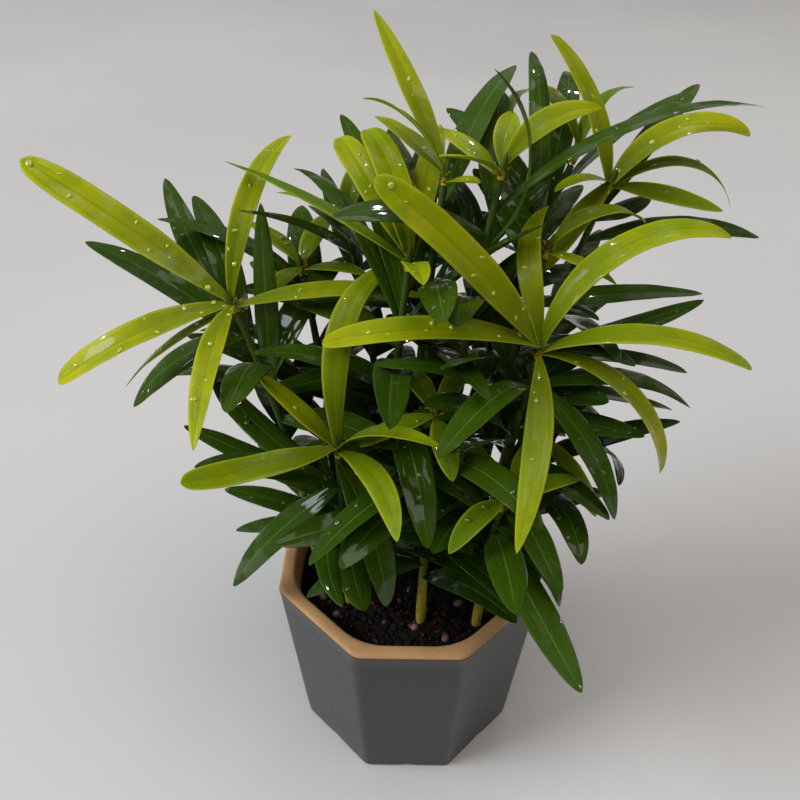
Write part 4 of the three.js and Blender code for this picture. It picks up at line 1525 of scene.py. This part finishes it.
def mature_leaf_finish(patches, veins):
    """Dark green older leaves, wet in places, with a thin pale midrib."""
    coat = {"Coat_Roughness": 0.05, "Coat_IOR": 1.4}
    material, tree, shader = new_finish("mature_leaf", Specular_IOR_Level=0.04, **coat)
    vein = placed(tree, veins, Streak_Count=9.0, Midrib_Width=0.07, Margin_Start=0.82)
    broad = patchy(tree, patches, scale=60.0, detail=2.0, shift=13.0)
    wet = patchy(tree, patches, scale=110.0, detail=2.5, shift=29.0, low=0.44, high=0.56)
    film = patchy(tree, patches, scale=420.0, detail=2.0, shift=31.0)
    fine = patchy(tree, patches, scale=1100.0, detail=3.0, shift=17.0, low=0.3, high=0.75)
    body = tinted(tree, shade(tree, carried(tree, "tone"), *DARK_GREEN), broad, 0.4, DEEP_GREEN)
    body = veined(tree, body, vein, MATURE_TINTS)
    roughness = difference(tree, between(tree, fine, 0.3, 0.44), product(tree, wet, WET_SMOOTHING))
    height = total(tree, vein["Streaks"], product(tree, fine, GRAIN_RELIEF))
    height = total(tree, height, vein["Midrib"])
    height = total(tree, height, product(tree, film, product(tree, wet, WET_RELIEF)))
    finish_with(tree, shader, body, roughness, height, strength=0.35, distance=0.0003)
    tree.links.new(product(tree, wet, MATURE_SHINE), shader.inputs["Coat Weight"])
    return material


def stem_finish(patches):
    """Green stems that turn yellow-green near the soil, with brown specks."""
    material, tree, shader = new_finish("green_stem", Roughness=0.5, Specular_IOR_Level=0.15)
    specks = patchy(tree, patches, scale=700.0, detail=3.0, shift=5.0, low=0.5, high=0.72)
    body = shade(tree, remap(tree, carried(tree, "along"), *STEM_GREENING), *STEM_GREEN)
    body = tinted(tree, body, specks, 0.6, SPECK_BROWN)
    finish_with(tree, shader, body, None, specks, strength=0.4, distance=0.0003)
    return material


def pot_finish(patches):
    """A dark matt glaze that ends in a thin brown line below the bare tan clay of the lip."""
    material, tree, shader = new_finish("dark_glaze_and_bare_clay", Specular_IOR_Level=0.65)
    cloud = patchy(tree, patches, scale=38.0, detail=3.0, shift=2.0)
    grain = patchy(tree, patches, scale=900.0, detail=4.0, shift=8.0)
    specks = patchy(tree, patches, scale=2200.0, detail=2.0, shift=4.0, low=0.6, high=0.75)
    glaze = tinted(tree, shade(tree, cloud, *GLAZE), specks, 0.15, GLAZE_SPECK)
    clay = tinted(tree, shade(tree, cloud, *CLAY), grain, 0.3, CLAY_GRAIN)
    bareness = total(tree, carried(tree, "bare"), product(tree, grain, UNEVEN_LINE))
    body = blend(tree, remap(tree, bareness, *BROWN_LINE_START), glaze, colour(*LINE_BROWN))
    is_clay = remap(tree, bareness, *CLAY_START)
    body = blend(tree, is_clay, body, clay)
    roughness = blend_value(tree, is_clay, between(tree, grain, 0.28, 0.36), CLAY_ROUGHNESS)
    height = total(tree, grain, product(tree, specks, SPECK_RELIEF))
    finish_with(tree, shader, body, roughness, height, strength=0.12, distance=0.0001)
    return material


def soil_finish(patches):
    """Near-black earth: the soil's own dark damp colour, darkened further by painted shade of the foliage
    above.
    """
    material, tree, shader = new_finish("damp_earth", Specular_IOR_Level=0.2)
    lumps = patchy(tree, patches, scale=420.0, detail=4.0, shift=6.0)
    damp = patchy(tree, patches, scale=120.0, detail=2.0, shift=16.0, low=0.4, high=0.6)
    body = tinted(tree, shade(tree, lumps, *SOIL_COLOUR_AND_PAINTED_SHADE), damp, 0.4, DAMP_EARTH)
    finish_with(tree, shader, body, between(tree, damp, 0.62, 0.9), lumps, strength=0.8, distance=0.001)
    return material


def crumb_finish(patches):
    """Crumbs of earth and bark, some of them paler and redder than the soil."""
    material, tree, shader = new_finish("earth_crumbs", Specular_IOR_Level=0.2)
    tone = carried(tree, "tone")
    lumps = patchy(tree, patches, scale=900.0, detail=3.0, shift=9.0)
    # the darker crumbs carry the painted shade of the foliage, like the soil
    body = blend(tree, remap(tree, tone, *PALE_CRUMBS), shade(tree, tone, *CRUMB_COLOUR_AND_PAINTED_SHADE), colour(*BARK))
    body = tinted(tree, body, lumps, 0.4, CRUMB_LUMP)
    finish_with(tree, shader, body, between(tree, lumps, 0.5, 0.85), lumps, strength=0.6, distance=0.0005)
    return material


def pebble_finish(patches):
    """Small pebbles of a pale reddish brown."""
    material, tree, shader = new_finish("small_pebbles", Specular_IOR_Level=0.5)
    grain = patchy(tree, patches, scale=1400.0, detail=3.0, shift=19.0)
    body = tinted(tree, shade(tree, carried(tree, "tone"), *PEBBLE), grain, 0.35, PEBBLE_GRAIN)
    finish_with(tree, shader, body, between(tree, grain, 0.5, 0.7), grain, strength=0.4, distance=0.0004)
    return material


def water_finish():
    """Opaque beads of water, painted with the leaf colour that light through a clear drop would show."""
    material, tree, shader = new_finish("water", Coat_Weight=1.0, Coat_Roughness=0.02, Roughness=0.15)
    finish_with(tree, shader, shade(tree, carried(tree, "fresh"), *LEAF_COLOUR_PAINTED_ON_DROPS))
    return material


def table_finish(patches):
    """A smooth pale grey table."""
    material, tree, shader = new_finish("pale_table", Specular_IOR_Level=0.35)
    cloud = patchy(tree, patches, scale=2.2, detail=2.0, shift=1.0)
    finish_with(tree, shader, shade(tree, cloud, *TABLE), between(tree, cloud, 0.5, 0.56))
    return material


# Stage


def make_camera():
    pitch, yaw, roll = map(radians_of, (CAMERA_PITCH, CAMERA_YAW, CAMERA_ROLL))
    ahead = Vector((math.sin(yaw) * math.cos(pitch), math.cos(yaw) * math.cos(pitch), -math.sin(pitch)))
    level = Vector((math.cos(yaw), -math.sin(yaw), 0))
    above = level.cross(ahead)
    right = level * math.cos(roll) + above * math.sin(roll)
    up = above * math.cos(roll) - level * math.sin(roll)
    data = bpy.data.cameras.new("camera")
    data.sensor_width = FRAME_WIDTH
    data.lens = FRAME_WIDTH
    data.clip_start = CAMERA_NEAR * MM
    data.clip_end = CAMERA_FAR * MM
    camera = in_scene(bpy.data.objects.new("camera", data))
    turn = Matrix((right, up, -ahead)).transposed().to_4x4()
    camera.matrix_world = Matrix.Translation(Vector(CAMERA_PLACE) * MM) @ turn
    bpy.context.scene.camera = camera


def make_light(name, place, target, size, power, tint):
    """A round light in a place, turned to a target."""
    data = bpy.data.lights.new(name, "AREA")
    data.shape = "DISK"
    data.size = size
    data.energy = power
    data.color = tint
    light = bpy.data.objects.new(name, data)
    light.location = place
    light.rotation_euler = (Vector(target) - Vector(place)).to_track_quat("-Z", "Y").to_euler()
    return in_scene(light)


def make_stage(finish):
    """A pale table, a soft cool light on the left, a warmer one above, and faint light from all round."""
    mesh = bpy.data.meshes.new("table_top")
    corners = [(x * TABLE_REACH, y * TABLE_REACH, 0) for x, y in ((-1, -1), (1, -1), (1, 1), (-1, 1))]
    mesh.from_pydata(corners, [], [(0, 1, 2, 3)])
    mesh.materials.append(finish)
    table = in_scene(bpy.data.objects.new("table_top", mesh))
    make_light("window_light", **WINDOW_LIGHT)
    for index, place in enumerate(GLINT_PLACES):
        glint = make_light(f"glint_light_{index + 1}", place, **GLINT_LIGHT)
        glint.visible_diffuse = False  # it only shines back from wet and glossy surfaces
    make_light("ceiling_light", **CEILING_LIGHT)
    world = bpy.data.worlds.new("room_light")
    world.use_nodes = True
    background = world.node_tree.nodes["Background"].inputs
    background["Color"].default_value = ROOM_TINT
    background["Strength"].default_value = ROOM_STRENGTH
    bpy.context.scene.world = world


# The whole scene


def build():
    """All pieces round the solid model."""
    make_camera()
    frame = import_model()
    bpy.context.scene.view_settings.view_transform = "Standard"
    patches, veins = make_patch_group(), make_vein_group()
    finishes = {
        "young_leaf": young_leaf_finish(patches, veins),
        "mature_leaf": mature_leaf_finish(patches, veins),
        "stem": stem_finish(patches),
        "crumb": crumb_finish(patches),
        "pebble": pebble_finish(patches),
    }
    blades = make_plants(frame, make_plant_tree(), finishes)
    make_pot(pot_finish(patches))
    soil = make_soil(soil_finish(patches))
    make_crumbs(soil, finishes)
    make_drops(blades, water_finish())
    make_stage(table_finish(patches))


build()
